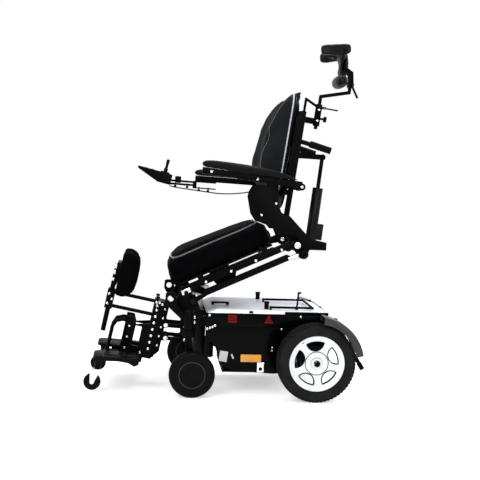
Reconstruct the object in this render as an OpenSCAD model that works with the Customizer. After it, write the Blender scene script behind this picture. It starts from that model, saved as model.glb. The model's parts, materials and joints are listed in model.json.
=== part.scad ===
// Standing power wheelchair: a rear-wheel-drive base, a seat lifted by a parallelogram of rails and links,
// a reclining back, flip-up armrests with a joystick, a headrest, a knee support and a raising legrest.
// Lengths are in millimetres and angles in degrees. Forward is -X, the chair's left is -Y and up is +Z.
// The origin lies on the floor under the middle of the chair's length and width.

/* [Base] */
// Distance of the drive axle behind the middle of the chair
axle_x = 375; // [365:1:385]
// Distance between the middle planes of the drive wheels
track = 580; // [576:1:600]
// Distance from the drive axle forward to the caster axles
wheelbase = 530; // [526:1:540]
// Distance between the middle planes of the caster wheels
caster_track = 500; // [496:1:510]
// Half of the width across the chassis rails
frame_half = 195; // [192:1:196]
// Height of the chassis rails' top face
rail_top = 345; // [342:1:347]
// Height of the top cover's flat top
cover_top = 377; // [374:1:378]

/* [Drive wheels] */
// Outside diameter of the drive tyre
wheel_d = 340; // [330:1:346]
// Width of the drive tyre
tyre_w = 80; // [76:1:82]
// Height of the tyre's wall from the bead to the tread
tyre_wall = 50; // [47:1:55]
// Number of windows in the wheel disc
window_count = 5; // [3:1:7]

/* [Casters] */
// Diameter of the caster wheel
caster_d = 200; // [190:1:204]
// Width of the caster wheel
caster_w = 46; // [40:1:46]
// Distance of the caster axle behind its swivel axis
caster_trail = 20; // [16:1:24]

/* [Seat lift] */
// Front lift pivot's distance ahead of the drive axle
front_pivot_ahead = 565; // [562:1:568]
// Height of the front lift pivot
front_pivot_z = 450; // [448:1:453]
// Length of the seat rail between its pivots
lift_len = 522; // [515:1:528]
// Tilt of the seat rail as the chair stands in the picture
seat_tilt = 24.7; // [22:0.1:27]
// Drop of the lower link's pivots below the rail's pivots
link_drop = 38; // [37:1:40]
// Length of the crank that the lift actuator pushes
crank_len = 80; // [78:1:82]

/* [Seat] */
// Width of the seat cushion
seat_w = 428; // [400:1:440]
// Space from the seat cushion's rear to the rear pivot of the seat rails
seat_rear_gap = 66; // [64:1:90]
// Thickness of the seat cushion at its front
seat_front_h = 120; // [110:1:126]
// Thickness of the seat cushion at its rear
seat_rear_h = 102; // [92:1:106]

/* [Back] */
// Lean of the back tubes from upright
back_lean = 7.2; // [5:0.1:9]
// Width of the back cushion
back_w = 416; // [390:1:430]
// Height of the back cushion
back_h = 498; // [470:1:505]
// Thickness of the back cushion at its lumbar swell
back_t = 124; // [100:1:126]
// Diameter of the back tubes
back_tube_d = 25; // [22:0.5:27]

/* [Armrests] */
// Length of an arm pad
arm_pad_len = 415; // [390:1:420]
// Width of an arm pad
arm_pad_w = 62; // [54:1:66]
// Thickness of an arm pad
arm_pad_h = 35; // [30:1:38]
// Upward slope of the left armrest
arm_slope = 6.3; // [5:0.1:8]
// Upward slope of the right armrest, which carries the joystick
joystick_arm_slope = 2.2; // [1.5:0.1:3]

/* [Headrest] */
// Diameter of the headrest stem
stem_d = 16; // [14:0.5:18]
// Width of the headrest across its wings
headrest_w = 250; // [230:1:260]

/* [Legrest] */
// Lean of the leg column from upright
leg_lean = 11; // [9:0.2:13]
// Height of the leg column
leg_column_h = 266; // [260:1:268]
// Length of a footplate
foot_len = 210; // [202:1:220]
// Width of a footplate
foot_w = 142; // [130:1:146]
// Width over both cups of the knee pad
knee_w = 270; // [240:1:290]
// Height of the knee pad
knee_h = 209; // [196:1:214]
// Diameter of a front anti-tip wheel
tip_wheel_d = 74; // [66:1:76]

/* [Joystick] */
// Length of the joystick pod
pod_len = 172; // [160:1:180]
// Width of the joystick pod
pod_w = 64; // [60:1:70]
// Height of the stick above the pod
stick_h = 64; // [50:1:70]

/* [Hidden] */
$fn = 48;

// Clearances and the overrun that serves every cut
fit = 0.05;
seat_gap = 0.3;
side_gap = 1;
over = 1;
knuckle_share = 1.04;
web_share = 0.9;
chord_share = 0.7;
link_eye_share = 1.3;

// Chassis
rail_w = 25;
rail_h = 45;
rail_front = 520;
rail_rear = 110;
rail_in = frame_half - rail_w;
upright_t = 12;
upright_step = 7;
pivot_plane = frame_half + upright_step;
upright_in = pivot_plane - upright_t;
barrel_r = 22;
barrel_low = 292;
barrel_h = 77;
barrel_cap = 14;
swivel_r = 12;
swivel_x = axle_x - wheelbase - caster_trail;
cross_front = 567;
cross_rear = 537;
tray_z = 94;
tray_t = 6;
tray_front = 393;
tray_rear = 108;
drop_t = 12;
drop_half = 76;
drop_low = 106;
drop_low_half = 58;
tie_front = -92;
shelf_t = 6;
shelf_half = 62;

// Front uprights
upright_r = 26;
link_boss_r = 22;
upright_nose = 613;
upright_nose_z = 404;
upright_tail = 488;
upright_base_z = 302;

// Front tie-down loops
loop_gap = 18;
loop_in = caster_track / 2 - loop_gap;
loop_t = 10;
loop_len = 117;
loop_h = 152;
loop_hole_r = 13;
loop_hole_share = [0.8, 0.82];
loop_shares = [[0, 0.01], [0.06, 0.01], [0.9, 0.6], [1, 0.74], [0.98, 0.97], [0.9, 1], [0.66, 1], [0.6, 0.92],
    [0.56, 0.66], [0.2, 0.3], [0, 0.3]];

// Batteries
battery_in = 50;
battery_out = 160;
battery_top = 330;
battery_front = 386;
battery_rear = 115;
battery_bevel = 46;
terminal_r = 8;
terminal_h = 9;

// Side panels and top cover
panel_t = 9;
panel_out = frame_half + panel_t;
panel_top = 362;
panel_front = 474;
panel_rear = 43;
panel_len = panel_front + panel_rear;
panel_low = 97;
panel_shares = [[0, 1], [0, 0.56], [0.06, 0.5], [0.085, 0.44], [0.13, 0.15], [0.25, 0.04], [0.59, 0],
    [0.74, 0.04], [0.77, 0.5], [0.85, 0.72], [0.94, 0.82], [1, 0.85], [1, 1]];
panel_groove = 2.5;
panel_groove_w = 4;
panel_groove_z = 300;
cover_front = 466;
cover_rear = 80;
cover_wall = 5;
cover_tail_z = 357;
cover_nose = 40;
cover_shoulder = 15;
cover_lip = 10;
vent_front = 448;
vent_len = 78;
vent_w = 14;
vent_y = -60;

// Fittings on the cover
stop_ahead = 205;
stop_y = 160;
stop_r = 10;
stop_h = 34;
stop_cap_r = 12;
stop_cap_h = 7;
luggage_r = 5;
luggage_front = 190;
luggage_rear = 2;
luggage_near = 182;
luggage_far = 70;
luggage_lift = 12;
hook_y = 162;
hook_ahead = 70;
hook_h = 76;
hook_lean = 6;
hook_r = 4;
hook_foot_r = 6;
hook_reach = 12;

// Reflectors and tie-down brackets
red_w = 44;
red_h = 37;
red_t = 6;
red_z = 320;
red_ahead = [381, 222];
amber_ahead = 317;
amber_z = 150;
amber_w = 90;
amber_h = 32;
amber_t = 8;
rib_w = 2.4;
rib_count = 4;
rib_h = 1.2;
tie_ahead = 243;
tie_z = 104;
tie_w = 30;
tie_h = 44;
tie_t = 6;
tie_hole_r = 8;
tie_hole_drop = 15;
tie_hole_gap = 3;

// Drive motors, mudguards and rear anti-tip bars
motor_r = 44;
motor_in = 36;
motor_hole_gap = 2;
gearbox_r = 57;
gearbox_t = 50;
gearbox_rib_r = 47;
gearbox_rib_t = 4;
axle_r = 12;
axle_reach = 90;
rim_d = wheel_d - tyre_wall * 2;
guard_gap = 33;
guard_r = wheel_d / 2 + guard_gap;
guard_skin = 5;
guard_flange = 2;
guard_lip = 7;
guard_lip_r = wheel_d / 2 + guard_lip;
guard_from = 11;
guard_sweep = 72;
guard_stay_w = 38;
guard_stay_h = 26;
guard_stay_at = 52;
guard_stay_up = 142;
guard_stay_z = wheel_d / 2 + guard_stay_up;
guard_stay_share = 0.92;
tip_bar_r = 9;
tip_bar_top = 318;
tip_bar_low = 120;
tip_bar_rear = 234.7;
tip_plug_r = 11;
tip_plug_share = 0.87;

// Lift pivots in the side view, as [x, z]
function ahead(distance, height) = [axle_x - distance, height];
tie_hole = ahead(tie_ahead - tie_w / 2, tie_z + tie_hole_drop);
p1 = ahead(front_pivot_ahead, front_pivot_z);
lift_dir = [cos(seat_tilt), sin(seat_tilt)];
p2 = p1 + lift_len * lift_dir;
link_back = 30;
link_step = [link_back, -link_drop];
p3 = p1 + link_step;
p4 = p2 + link_step;
shaft_r = 15;
link_bolt_r = 8;
rail_bolt_r = 10;
bolt_head_h = 8;
bolt_head_share = 1.4;
lift_rail_w = 25;
lift_rail_top = 29;
lift_rail_neck = 14;
lift_rail_end = 60;
lift_eye_r = 22;
lift_rail_in = pivot_plane + side_gap;
lift_rail_out = lift_rail_in + lift_rail_w;
link_w = 20;
link_top = 27;
link_neck = 12;
link_end = 68;
link_ramp = 16;
link_end_r = 16;
link_out = lift_rail_in + link_w;

// Lift crank, actuator and slotted crosshead
crank_droop = 35;
crank_pin_r = 8;
crank_end_r = 16;
crank_in = 22;
crank_t = 10;
pin_z = p1[1] + crank_len * sin(seat_tilt - crank_droop);
crank_travel_share = 0.91;
rod_x = p1[0] + crank_len * crank_travel_share;
head_w = 40;
head_len = 76;
head_half = 20;
slot_len = 44;
slot_slack = 2.4;
lift_rod_r = 13;
lift_tube_r = 24;
lift_tube_low = 205;
lift_rod_low = 255;
lift_body_r = 30;
lift_body_low = 128;
lift_flange_r = 40;
lift_motor_r = 26;
lift_motor_x = 44;
lift_motor_h = 92;

// Seat pan and cushion, placed along the rail and square to it
pan_front = -16;
pan_rear = 424;
pan_low = 38;
pan_t = 9;
pan_half = 204;
beam_front = 70;
beam_rear = 372;
beam_len = 26;
beam_low = 8;
seat_start = -58;
seat_len = lift_len - seat_rear_gap - seat_start;
seat_roll = 112;
seat_roll_drop = 38;
seat_tuck = 12;
gusset_in = 174;
gusset_start = 128;
gusset_len = 116;
gusset_h = 72;
gusset_t = 12;
gusset_foot_share = 0.35;
gusset_shares = [[0, 0.2], [0.1, 0], [0.9, 0], [1, 0.3], [0.85, 0.72], [0.55, 1], [0.15, 0.95], [0.02, 0.6]];

// Back carrier: back pivot, recline pivot and plate
back_ahead = 48;
back_rise = 105;
pb = p2 + [-back_ahead, back_rise];
recline_back = 99;
pr = p2 + [recline_back, 0];
carrier_r = 27;
carrier_back_r = 25;
carrier_tip = 134;
carrier_tip_low = -20;
carrier_tip_high = 14;
carrier_belly = 60;
carrier_shoulder = 30;
carrier_tube_r = 14;
carrier_tube_back = 34;
carrier_tube_rise = 28;
recline_pin_r = 8;
recline_in = 17;

// Side guards beside the seat
guard_y = 243;
guard_t = 8;
guard_w = 206;
guard_h = 208;
guard_rear = 26;
guard_right_share = 0.66;
guard_drop = 58;
guard_shares = [[0.02, 0.86], [0, 0.76], [0.07, 0.42], [0.17, 0.27], [0.5, 0.16], [0.72, 0], [1, 0],
    [1, 0.28], [0.72, 0.46], [0.66, 0.62], [0.64, 1], [0.1, 1]];
spacer_r = 9;
spacer_places = [[-14, -30], [22, -34]];

// Recline actuator and its lug on the back frame
lug_back = 149;
lug_up = 310;
lug_root_up = 298;
lug_in = 13;
lug_t = 6;
lug_r = 12;
lug_root_r = 15;
lug_pin_r = 6;
lug_slack = 4;
recline_body_r = 24;
recline_body_len = 254;
recline_eye_r = 17;
recline_motor_w = 34;
recline_motor_len = 74;
recline_motor_at = 14;
recline_rod_r = 9;
recline_rod_in = 60;
recline_bore = 142;
rod_eye_r = 14;
rod_eye_w = 22;

// Back frame, measured along the tubes from the back pivot
back_tube_r = back_tube_d / 2;
back_tube_y = 176;
back_tube_foot = -20;
back_tube_top = 482;
back_cross_up = [298, 466];
back_cross_r = 11;
back_tab_up = [110, 430];
back_tab_h = 24;
arm_pivot_back = 28;
arm_pivot_up = 153;
arm_pivot_r = 8;
arm_ear_r = 17;
arm_ear_out = 218;
shell_t = 8;
shell_rear = -22;
shell_low = 46;
shell_top = 530;
shell_half = 200;
cheek_in = 9;
cheek_t = 6;
cheek_deep = 32;
cheek_low = 190;
cheek_top = 478;
back_low = 80;
back_low_share = 0.55;
back_top_share = 0.33;
back_swell_share = 0.31;
back_hollow_share = 0.2;
back_roll_from_share = 0.925;
back_flat_share = 0.82;
back_roll = 44;
grip_r = 15;
grip_len = 96;
handle_r = 10;
handle_up = 352;
handle_back = 146;
handle_drop = 20;

// Headrest, in the back's own directions
socket_back = 95;
socket_low = 446;
socket_top = 545;
socket_r = 15;
clamp_arm_up = 466;
clamp_arm_h = 26;
clamp_arm_half = 14;
brace_r = 6;
brace_back = 30;
brace_up = 560;
knob_up = 482;
knob_r = 13;
knob_len = 12;
knob_neck_r = 5;
knob_neck_len = 16;
lever_up = 532;
lever_in = 17;
lever_t = 7;
lever_len = 66;
lever_pin_r = 4;
stem_low = 432;
stem_bend = 582;
stem_back = 222;
stem_rise = 622;
stem_top = 668;
stem_eye_up = 655;
stem_eye_r = 14;
stem_eye_half = 12;
stem_pin_r = 6;
bracket_in = 13;
bracket_t = 5;
bracket_reach = 40;
bracket_half = 26;
bracket_rise = 84;
bracket_w = 17;
bracket_bend_up = 698;
bracket_lever_len = 66;
bracket_lever_r = 5;
bracket_lever_tilt = 145;
head_rear = 172;
head_low = 694;
head_high = 803;
head_t = 33;
head_half_w = 84;
neck_r = 33;
neck_up = 662;
neck_back = 171;
neck_half = 84;
wing_front = [36, 76];
wing_rear = 180;
wing_up = 784;
wing_h = 52;
wing_turn = 15;
wing_t = 38;
wing_swell_share = 0.1;

// Armrests, measured along the bar from the pivot
arm_y = 276;
arm_bar_w = 26;
arm_bar_top = 22;
arm_bar_h = 27;
arm_bar_front = 428;
arm_knuckle_r = 15;
arm_pin_in = 204;
arm_pad_rear = 20;
arm_taper_share = 0.72;
arm_taper_from_share = 0.1;
arm_bolt_r = 7;
arm_bolt_t = 4;
arm_bolts = [394, 202];

// Joystick mount, pod, stick and buttons
mount_front = 438;
mount_len = 112;
mount_h = 36;
mount_wall = 6;
mount_rod_r = 5;
mount_rod_drop = 26;
mount_rod_step = 15;
pod_ahead = 576;
pod_rise = 24;
pod_tilt = 10.8;
pod_depth = 52;
pod_rear_share = 0.22;
pod_shares = [[0, 0.05], [0, 1], [0.36, 1], [0.47, 0.86], [0.97, 0.24], [1, 0.12], [0.98, 0], [0.1, 0]];
pod_collar_r = 22;
pod_collar_h = 5;
socket_cut_r = 17;
socket_cut_z = -22;
pivot_z = -9;
ball_r = 8;
gimbal_in = 9;
gimbal_out = 13.5;
gimbal_h = 6;
trunnion_r = 2;
stick_r = 4;
boot_r = 10;
boot_h = 22;
knob_top_r = 6;
button_r = 6;
button_h = 7;
button_proud = 2.5;
button_travel = 2;
power_at = 62;
speed_at = 92;

// Joystick lead, in the right arm's own directions
cable_r = 3;
cable_sides = 8;
cable_route = [[-550, 276, -37.5], [-530, 276, -41], [-505, 274, -44], [-480, 270, -46], [-450, 263, -48],
    [-420, 258, -50], [-380, 257, -53], [-340, 257, -56], [-300, 257, -57], [-260, 257, -55],
        [-220, 258, -50],
    [-180, 259, -43], [-145, 261, -34], [-115, 264, -25], [-95, 268, -17], [-85, 272, -11.5],
        [-80, 277, -8.5]];

// Legrest, in the leg column's own directions
leg_ahead = 715;
leg_z = 130;
leg_base_ahead = 557;
leg_link_len = 88;
leg_link_rise = 6;
leg_link_z = [213, 272];
leg_pin_r = 6;
leg_plate_in = 40;
leg_plate_t = 10;
leg_plate_out = leg_plate_in + leg_plate_t;
leg_link_t = 8;
leg_link_half = 9;
leg_link_gap = 1;
leg_lug_half = 20;
leg_lug_low = 197;
leg_front = -30;
leg_rear = 37;
leg_low = -8;
leg_top = leg_low + leg_column_h;
leg_toe = 4;
leg_bevel = 44;
frame_low = -12;
frame_top = 150;
leg_boss_r = 14;
leg_boss_reach = 30;
leg_boss_inset = 1;
boss_web_share = 0.9;
window_front = -90;
window_rear = -60;
window_low = 38;
window_top = 128;
hole_r = 5;
hole_step = 30;
hole_count = 7;
hole_start = 36;
hole_at = -14;
core_in = 10;
core_low = 8;
carry_front = -206;
carry_low = -26;
carry_t = 9;
carry_half = 53;
hoop_r = 8;
hoop_y = 45;
hoop_front = -192;
hoop_turn = 40;
hoop_top = 143;
hoop_knee_share = 0.3;
frame_front = -140;
frame_brow = 16;
foot_hinge_y = 64;
foot_hinge_up = -10;
foot_pitch = 7;
foot_raise = 18;
foot_hinge_r = 5;
foot_hinge_front = -176;
foot_hinge_len = 120;
knuckle_r = 9;
knuckle_len = 36;
hinge_ends = [foot_hinge_front, foot_hinge_front + foot_hinge_len - knuckle_len];
foot_rear = -34;
foot_t = 14;
foot_top = -2;
skirt_t = 6;
skirt_inset_share = 0.05;
skirt_drop = 38;
skirt_shares = [[0, 0], [0.02, 0.8], [0.1, 1], [0.2, 0.5], [0.45, 0.36], [0.75, 0.5], [0.9, 0.85], [1, 0.6],
    [1, 0]];
foot_corner_share = 0.3;
foot_slot_len = 54;
foot_slot_w = 13;
foot_slot_at_share = 0.74;
foot_slot_shares = [0.3, 0.66];
foot_rib_w = 5;
foot_rib_h = 2.5;
foot_rib_count = 5;
foot_rib_share = 0.58;

// Front anti-tip beam, forks and wheels
tip_ahead = 934;
tip_y = 190;
tip_beam_z = 119;
tip_beam_r = 9;
tip_arm_reach = 60;
tip_arm_rise = 26;
tip_arm_half = 14;
tip_arm_shares = [[-0.09, 0], [0.09, -0.2], [1, 0.8], [1, 0.96], [0.28, 1]];
tip_boss_r = 14;
tip_boss_low = 106;
tip_boss_h = 28;
tip_stem_r = 6;
tip_trail = 23;
tip_clear = 13;
tip_wheel_w = 22;
tip_fork_gap = 2;
tip_fork_t = 4;
tip_crown_h = 9;
tip_pin_r = 4;
tip_leg_half = 9;
tip_hood = 37;
tip_boss_gap = 0.5;

// Knee support, in the leg column's own directions
knee_bar_r = 8;
knee_bar_up = [186, 248];
post_x = -230;
post_r = 11;
post_low = 67;
post_top = 376;
clamp_low = 174;
clamp_top = 262;
clamp_half_x = 17;
clamp_half_y = 24;
knee_plate_t = 4;
knee_plate_half = 70;
knee_plate_low = 290;
knee_plate_h = 100;
knee_low = 245;
knee_split = 54;
knee_t = 94;
knee_taper_share = 0.2;
knee_taper_from_share = 0.4;
knee_hollow_share = 0.2;

// Places along the rail, the back, the leg and the arms
module both() { children(); mirror([0, 1, 0]) children(); }
module on_seat() translate([p1[0], 0, p1[1]]) rotate([0, -seat_tilt, 0]) children();
module on_back() translate([pb[0], 0, pb[1]]) rotate([0, back_lean, 0]) children();
module on_leg() translate([axle_x - leg_ahead, 0, leg_z]) rotate([0, leg_lean, 0]) children();
module on_foot() on_leg() translate([foot_rear, 0, foot_hinge_up + foot_raise]) rotate([0, -foot_pitch, 0])
    translate([-foot_rear, 0, -foot_hinge_up]) children();
module on_arm(slope) on_back() translate([arm_pivot_back, 0, arm_pivot_up])
    rotate([0, slope - back_lean, 0]) children();
module on_pod() on_arm(joystick_arm_slope) translate([-pod_ahead, arm_y, pod_rise])
    rotate([0, pod_tilt, 0]) children();

// Box between two distances ahead of the axle, two widths and two heights
module slab(front, rear, y0, y1, z0, z1) translate([axle_x - front, y0, z0])
    cube([front - rear, y1 - y0, z1 - z0]);

// Round bar along Y through a place [x, z] of the side view
module rod(place, y0, y1, r) translate([place[0], y0, place[1]]) rotate([-90, 0, 0])
    cylinder(r = r, h = y1 - y0);

// Plate whose side-view outline is the child, between two widths
module plate(y0, y1) translate([0, y1, 0]) rotate([90, 0, 0]) linear_extrude(y1 - y0) children();

// Round bar between two points
module strut(p, q, r) {
    d = q - p;
    translate(p) rotate([0, acos(d[2] / norm(d)), atan2(d[1], d[0])]) cylinder(r = r, h = norm(d));
}

// Bent round bar through points, with knuckles at its bends
module bend(points, r) {
    for (i = [0 : len(points) - 2]) strut(points[i], points[i + 1], r);
    for (i = [1 : len(points) - 2]) translate(points[i]) sphere(r = r * knuckle_share);
}

// Bolt along Y with a head outside
module bolt(place, y0, y1, r) {
    rod(place, y0, y1, r);
    rod(place, y1, y1 + bolt_head_h, r * bolt_head_share);
}

// Padded form: rings of [inset share, depth share] stacked on a rounded plan, with a thickness for each place
pad_points = 36;
pad_corner = 5;
function squircle(angle, n) = [
    sign(cos(angle)) * pow(abs(cos(angle)), 2 / n),
    sign(sin(angle)) * pow(abs(sin(angle)), 2 / n)];
module padding(length, width, rings, thick, rear = function(u, v) 0, tuck = 0) {
    plan = [for (i = [0 : pad_points - 1]) squircle(360 * (i + 0.5) / pad_points, pad_corner)];
    points = [for (ring = rings) for (p = plan)
        let (u = p[0] * ring[0], v = p[1] * ring[0])
        [u * length / 2 - tuck * min(0, u) * max(0, 1 - ring[1]), v * width / 2,
            rear(u, v) + ring[1] * thick(u, v)]];
    last = len(rings) - 1;
    walls = [for (j = [0 : last - 1]) for (i = [0 : pad_points - 1])
        let (a = j * pad_points + i, b = j * pad_points + (i + 1) % pad_points)
        each [[a, a + pad_points, b + pad_points], [a, b + pad_points, b]]];
    low = len(points);
    high = low + 1;
    base = [for (i = [0 : pad_points - 1]) [low, i, (i + 1) % pad_points]];
    crown = [for (i = [0 : pad_points - 1])
        [high, last * pad_points + (i + 1) % pad_points, last * pad_points + i]];
    ends = [[0, 0, rear(0, 0)], [0, 0, rear(0, 0) + rings[last][1] * thick(0, 0)]];
    polyhedron(concat(points, ends), concat(walls, base, crown));
}
boxed_rings = [[0.93, 0], [0.985, 0.1], [0.965, 0.42], [1, 0.74], [0.985, 0.84], [0.93, 0.94], [0.8, 0.995],
    [0.5, 1.03], [0.2, 1.045]];
rolled_rings = [[0.9, 0], [0.98, 0.14], [1, 0.4], [0.98, 0.66], [0.92, 0.85], [0.8, 0.96], [0.5, 1],
    [0.2, 1.01]];

// Base

module upright_outline() {
    translate(p1) circle(r = upright_r);
    translate(p3) circle(r = link_boss_r);
    polygon([p1 + [-upright_r, 0], p1 + [0, upright_r * web_share], p3 + [link_boss_r, 0], ahead(upright_tail,
        rail_top),
        ahead(upright_tail, upright_base_z), ahead(cross_front, upright_base_z),
        ahead(upright_nose, upright_nose_z)]);
}

module drop_outline() polygon([ahead(drop_half, rail_top - rail_h), ahead(drop_low_half, drop_low),
    ahead(-drop_low_half, drop_low), ahead(-drop_half, rail_top - rail_h)]);

module chassis_frame() color("#26272a") difference() {
    union() {
        both() {
            slab(rail_front, -rail_rear, rail_in, frame_half, rail_top - rail_h, rail_top);
            plate(upright_in, pivot_plane) upright_outline();
            plate(rail_in, rail_in + drop_t) drop_outline();
            translate([swivel_x, caster_track / 2, barrel_low]) cylinder(r = barrel_r, h = barrel_h);
            slab(leg_base_ahead + leg_lug_half, leg_base_ahead - leg_lug_half, leg_plate_in, leg_plate_out,
                leg_lug_low, rail_top);
        }
        both() plate(loop_in, loop_in + loop_t) difference() {
            polygon([for (p = loop_shares) ahead(cross_rear + p[0] * loop_len,
                rail_top - rail_h + p[1] * loop_h)]);
            translate(ahead(cross_rear + loop_len * loop_hole_share[0],
                rail_top - rail_h + loop_h * loop_hole_share[1]))
                circle(r = loop_hole_r);
        }
        slab(cross_front, cross_rear, -caster_track / 2, caster_track / 2, rail_top - rail_h, rail_top);
        slab(tie_front + rail_w, tie_front, -rail_in - over, rail_in + over, rail_top - rail_h, rail_top);
        slab(tray_front, tray_rear, -battery_out - tray_t, battery_out + tray_t, tray_z, tray_z + tray_t);
        slab(tray_front, tray_front - tray_t, -rail_in - over, rail_in + over, tray_z, rail_top);
        slab(tray_rear + tray_t, tray_rear, -rail_in - over, rail_in + over, tray_z, rail_top);
        slab(cross_rear + over, tray_front - over, -shelf_half, shelf_half, rail_top - rail_h,
            rail_top - rail_h + shelf_t);
    }
    both() {
        translate([swivel_x, caster_track / 2, barrel_low - over])
            cylinder(r = swivel_r + fit, h = barrel_h - barrel_cap + over);
        rod([axle_x, wheel_d / 2], rail_in - over, rail_in + drop_t + over, motor_r + motor_hole_gap);
        rod(p3, upright_in - over, pivot_plane + over, link_bolt_r + fit);
    }
    rod(p1, -pivot_plane - over, pivot_plane + over, shaft_r + fit);
    for (z = leg_link_z) rod(ahead(leg_base_ahead, z), -leg_plate_out - over, leg_plate_out + over,
        leg_pin_r + fit);
    translate([rod_x, 0, rail_top - rail_h - over]) cylinder(r = lift_tube_r + seat_gap,
        h = shelf_t + over * 2);
}

module battery_pack() color("#1d1d1f") both() {
    plate(battery_in, battery_out)
        polygon([ahead(battery_front, battery_top), ahead(battery_rear, battery_top),
        ahead(battery_rear, tray_z + tray_t), ahead(battery_front - battery_bevel, tray_z + tray_t),
        ahead(battery_front, tray_z + tray_t + battery_bevel)]);
    for (at = [battery_front - battery_bevel, battery_rear + battery_bevel])
        translate([axle_x - at, (battery_in + battery_out) / 2, battery_top]) cylinder(r = terminal_r,
            h = terminal_h);
}

module panel_outline() polygon([for (p = panel_shares)
    ahead(panel_front - p[0] * panel_len, panel_low + p[1] * (panel_top - panel_low))]);

module side_panels() color("#141416") both() difference() {
    plate(frame_half, panel_out) panel_outline();
    slab(panel_front, -rail_rear, panel_out - panel_groove, panel_out + over, panel_groove_z,
        panel_groove_z + panel_groove_w);
    rod(tie_hole, frame_half - over, panel_out + over, tie_hole_r + tie_hole_gap);
}

module cover_outline() polygon([ahead(cover_front, panel_top), ahead(cover_front - cover_nose, cover_top),
    ahead(-cover_shoulder, cover_top), ahead(-cover_rear, cover_tail_z), ahead(-cover_rear, rail_top),
    ahead(-panel_rear, rail_top), ahead(-panel_rear, panel_top)]);

module top_cover() color("#dfe7f0") difference() {
    union() {
        plate(-panel_out, panel_out) cover_outline();
        slab(cover_front, -panel_rear, -frame_half + seat_gap, frame_half - seat_gap, rail_top,
            panel_top + over);
    }
    slab(cover_front - cover_nose, -cover_shoulder, -rail_in + cover_lip, rail_in - cover_lip,
        rail_top - over, cover_top - cover_wall);
    slab(vent_front, vent_front - vent_len, vent_y, vent_y + vent_w, panel_top, cover_top + over);
}

module cover_fittings() color("#17171a") {
    both() translate([axle_x - stop_ahead, stop_y, cover_top]) {
        cylinder(r = stop_r, h = stop_h);
        translate([0, 0, stop_h - stop_cap_h]) cylinder(r = stop_cap_r, h = stop_cap_h);
    }
    z = cover_top + luggage_lift;
    corner_r = luggage_r * knuckle_share;
    for (y = [-luggage_near, luggage_far]) {
        strut([axle_x - luggage_front, y, z], [axle_x - luggage_rear, y, z], luggage_r);
        translate([axle_x - luggage_front, y, cover_top]) cylinder(r = corner_r, h = luggage_lift + corner_r);
        translate([axle_x - luggage_rear, y, z - corner_r]) cylinder(r = corner_r, h = corner_r * 2);
    }
    rod([axle_x - luggage_rear, z], -luggage_near, luggage_far, luggage_r);
    foot = [axle_x - hook_ahead, -hook_y, cover_top];
    tip = foot + [hook_lean, 0, hook_h];
    translate(foot) cylinder(r = hook_foot_r, h = hook_r * 2);
    strut(foot + [0, 0, hook_r], tip, hook_r);
    strut(tip - [hook_r, 0, 0], tip + [hook_reach, 0, 0], hook_r * knuckle_share);
}

module reflectors() color("#b3202c") both() {
    for (at = red_ahead) {
        slab(at, at - red_w, panel_out, panel_out + red_t - rib_h, red_z, red_z + red_h);
        for (i = [0 : rib_count - 1]) slab(at, at - red_w, panel_out, panel_out + red_t,
            red_z + i * (red_h - rib_w) / (rib_count - 1),
                red_z + i * (red_h - rib_w) / (rib_count - 1) + rib_w);
    }
    slab(amber_ahead, amber_ahead - amber_w, panel_out, panel_out + amber_t, amber_z, amber_z + amber_h);
}

module drive_motors() color("#3a3b3e") both() difference() {
    union() {
        rod([axle_x, wheel_d / 2], motor_in, rail_in + drop_t, motor_r);
        rod([axle_x, wheel_d / 2], rail_in + drop_t, rail_in + drop_t + gearbox_t, gearbox_r);
        rod([axle_x, wheel_d / 2], rail_in + drop_t + gearbox_t - over,
            rail_in + drop_t + gearbox_t + gearbox_rib_t,
            gearbox_rib_r);
    }
    rod([axle_x, wheel_d / 2], track / 2 - axle_reach - over, track / 2, axle_r + fit);
}

module around_axle(y) translate([axle_x, y, wheel_d / 2]) rotate([-90, 0, 0]) children();

module mudguards() color("#2c2d30") both() {
    around_axle(track / 2) rotate([0, 0, -guard_from - guard_sweep])
        rotate_extrude(angle = guard_sweep, $fn = 96)
        polygon([[guard_lip_r, -tyre_w / 2 - guard_skin], [guard_r, -tyre_w / 2 - guard_skin],
            [guard_r, tyre_w / 2 + guard_skin], [guard_lip_r, tyre_w / 2 + guard_skin],
            [guard_lip_r, tyre_w / 2 + guard_skin / 2], [guard_r - guard_skin, tyre_w / 2 + guard_skin / 2],
            [guard_r - guard_skin, -tyre_w / 2 - guard_flange], [guard_lip_r, -tyre_w / 2 - guard_flange]]);
    slab(-guard_stay_at, -guard_stay_at - guard_stay_w, frame_half, track / 2 - tyre_w / 2 - guard_skin / 2,
        guard_stay_z, guard_stay_z + guard_stay_h);
    slab(-guard_stay_at, -guard_stay_at - guard_stay_w, track / 2 - tyre_w / 2 - guard_skin * 2,
        track / 2 - tyre_w / 2 - guard_skin / 2, guard_stay_z, wheel_d / 2 + guard_r * guard_stay_share);
}

module tie_down_brackets() color("#c9ccd0") both() difference() {
    slab(tie_ahead, tie_ahead - tie_w, panel_out, panel_out + tie_t, tie_z, tie_z + tie_h);
    rod(tie_hole, panel_out - over, panel_out + tie_t + over, tie_hole_r);
}

module rear_anti_tip_bars() color("#151517") both() {
    top = [axle_x + rail_rear, rail_in + rail_w / 2, tip_bar_top];
    low = [axle_x + tip_bar_rear, rail_in + rail_w / 2, tip_bar_low];
    difference() {
        strut(top, low, tip_bar_r);
        translate([axle_x + rail_rear - rail_w, 0, rail_top - rail_h - rail_h])
            cube([rail_w, frame_half, rail_h * 2]);
    }
    strut(top + (low - top) * tip_plug_share, low, tip_plug_r);
}

module link_bolts() color("#d8dadd") both() bolt(p3, upright_in, link_out + seat_gap, link_bolt_r);

// Wheels

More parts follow.
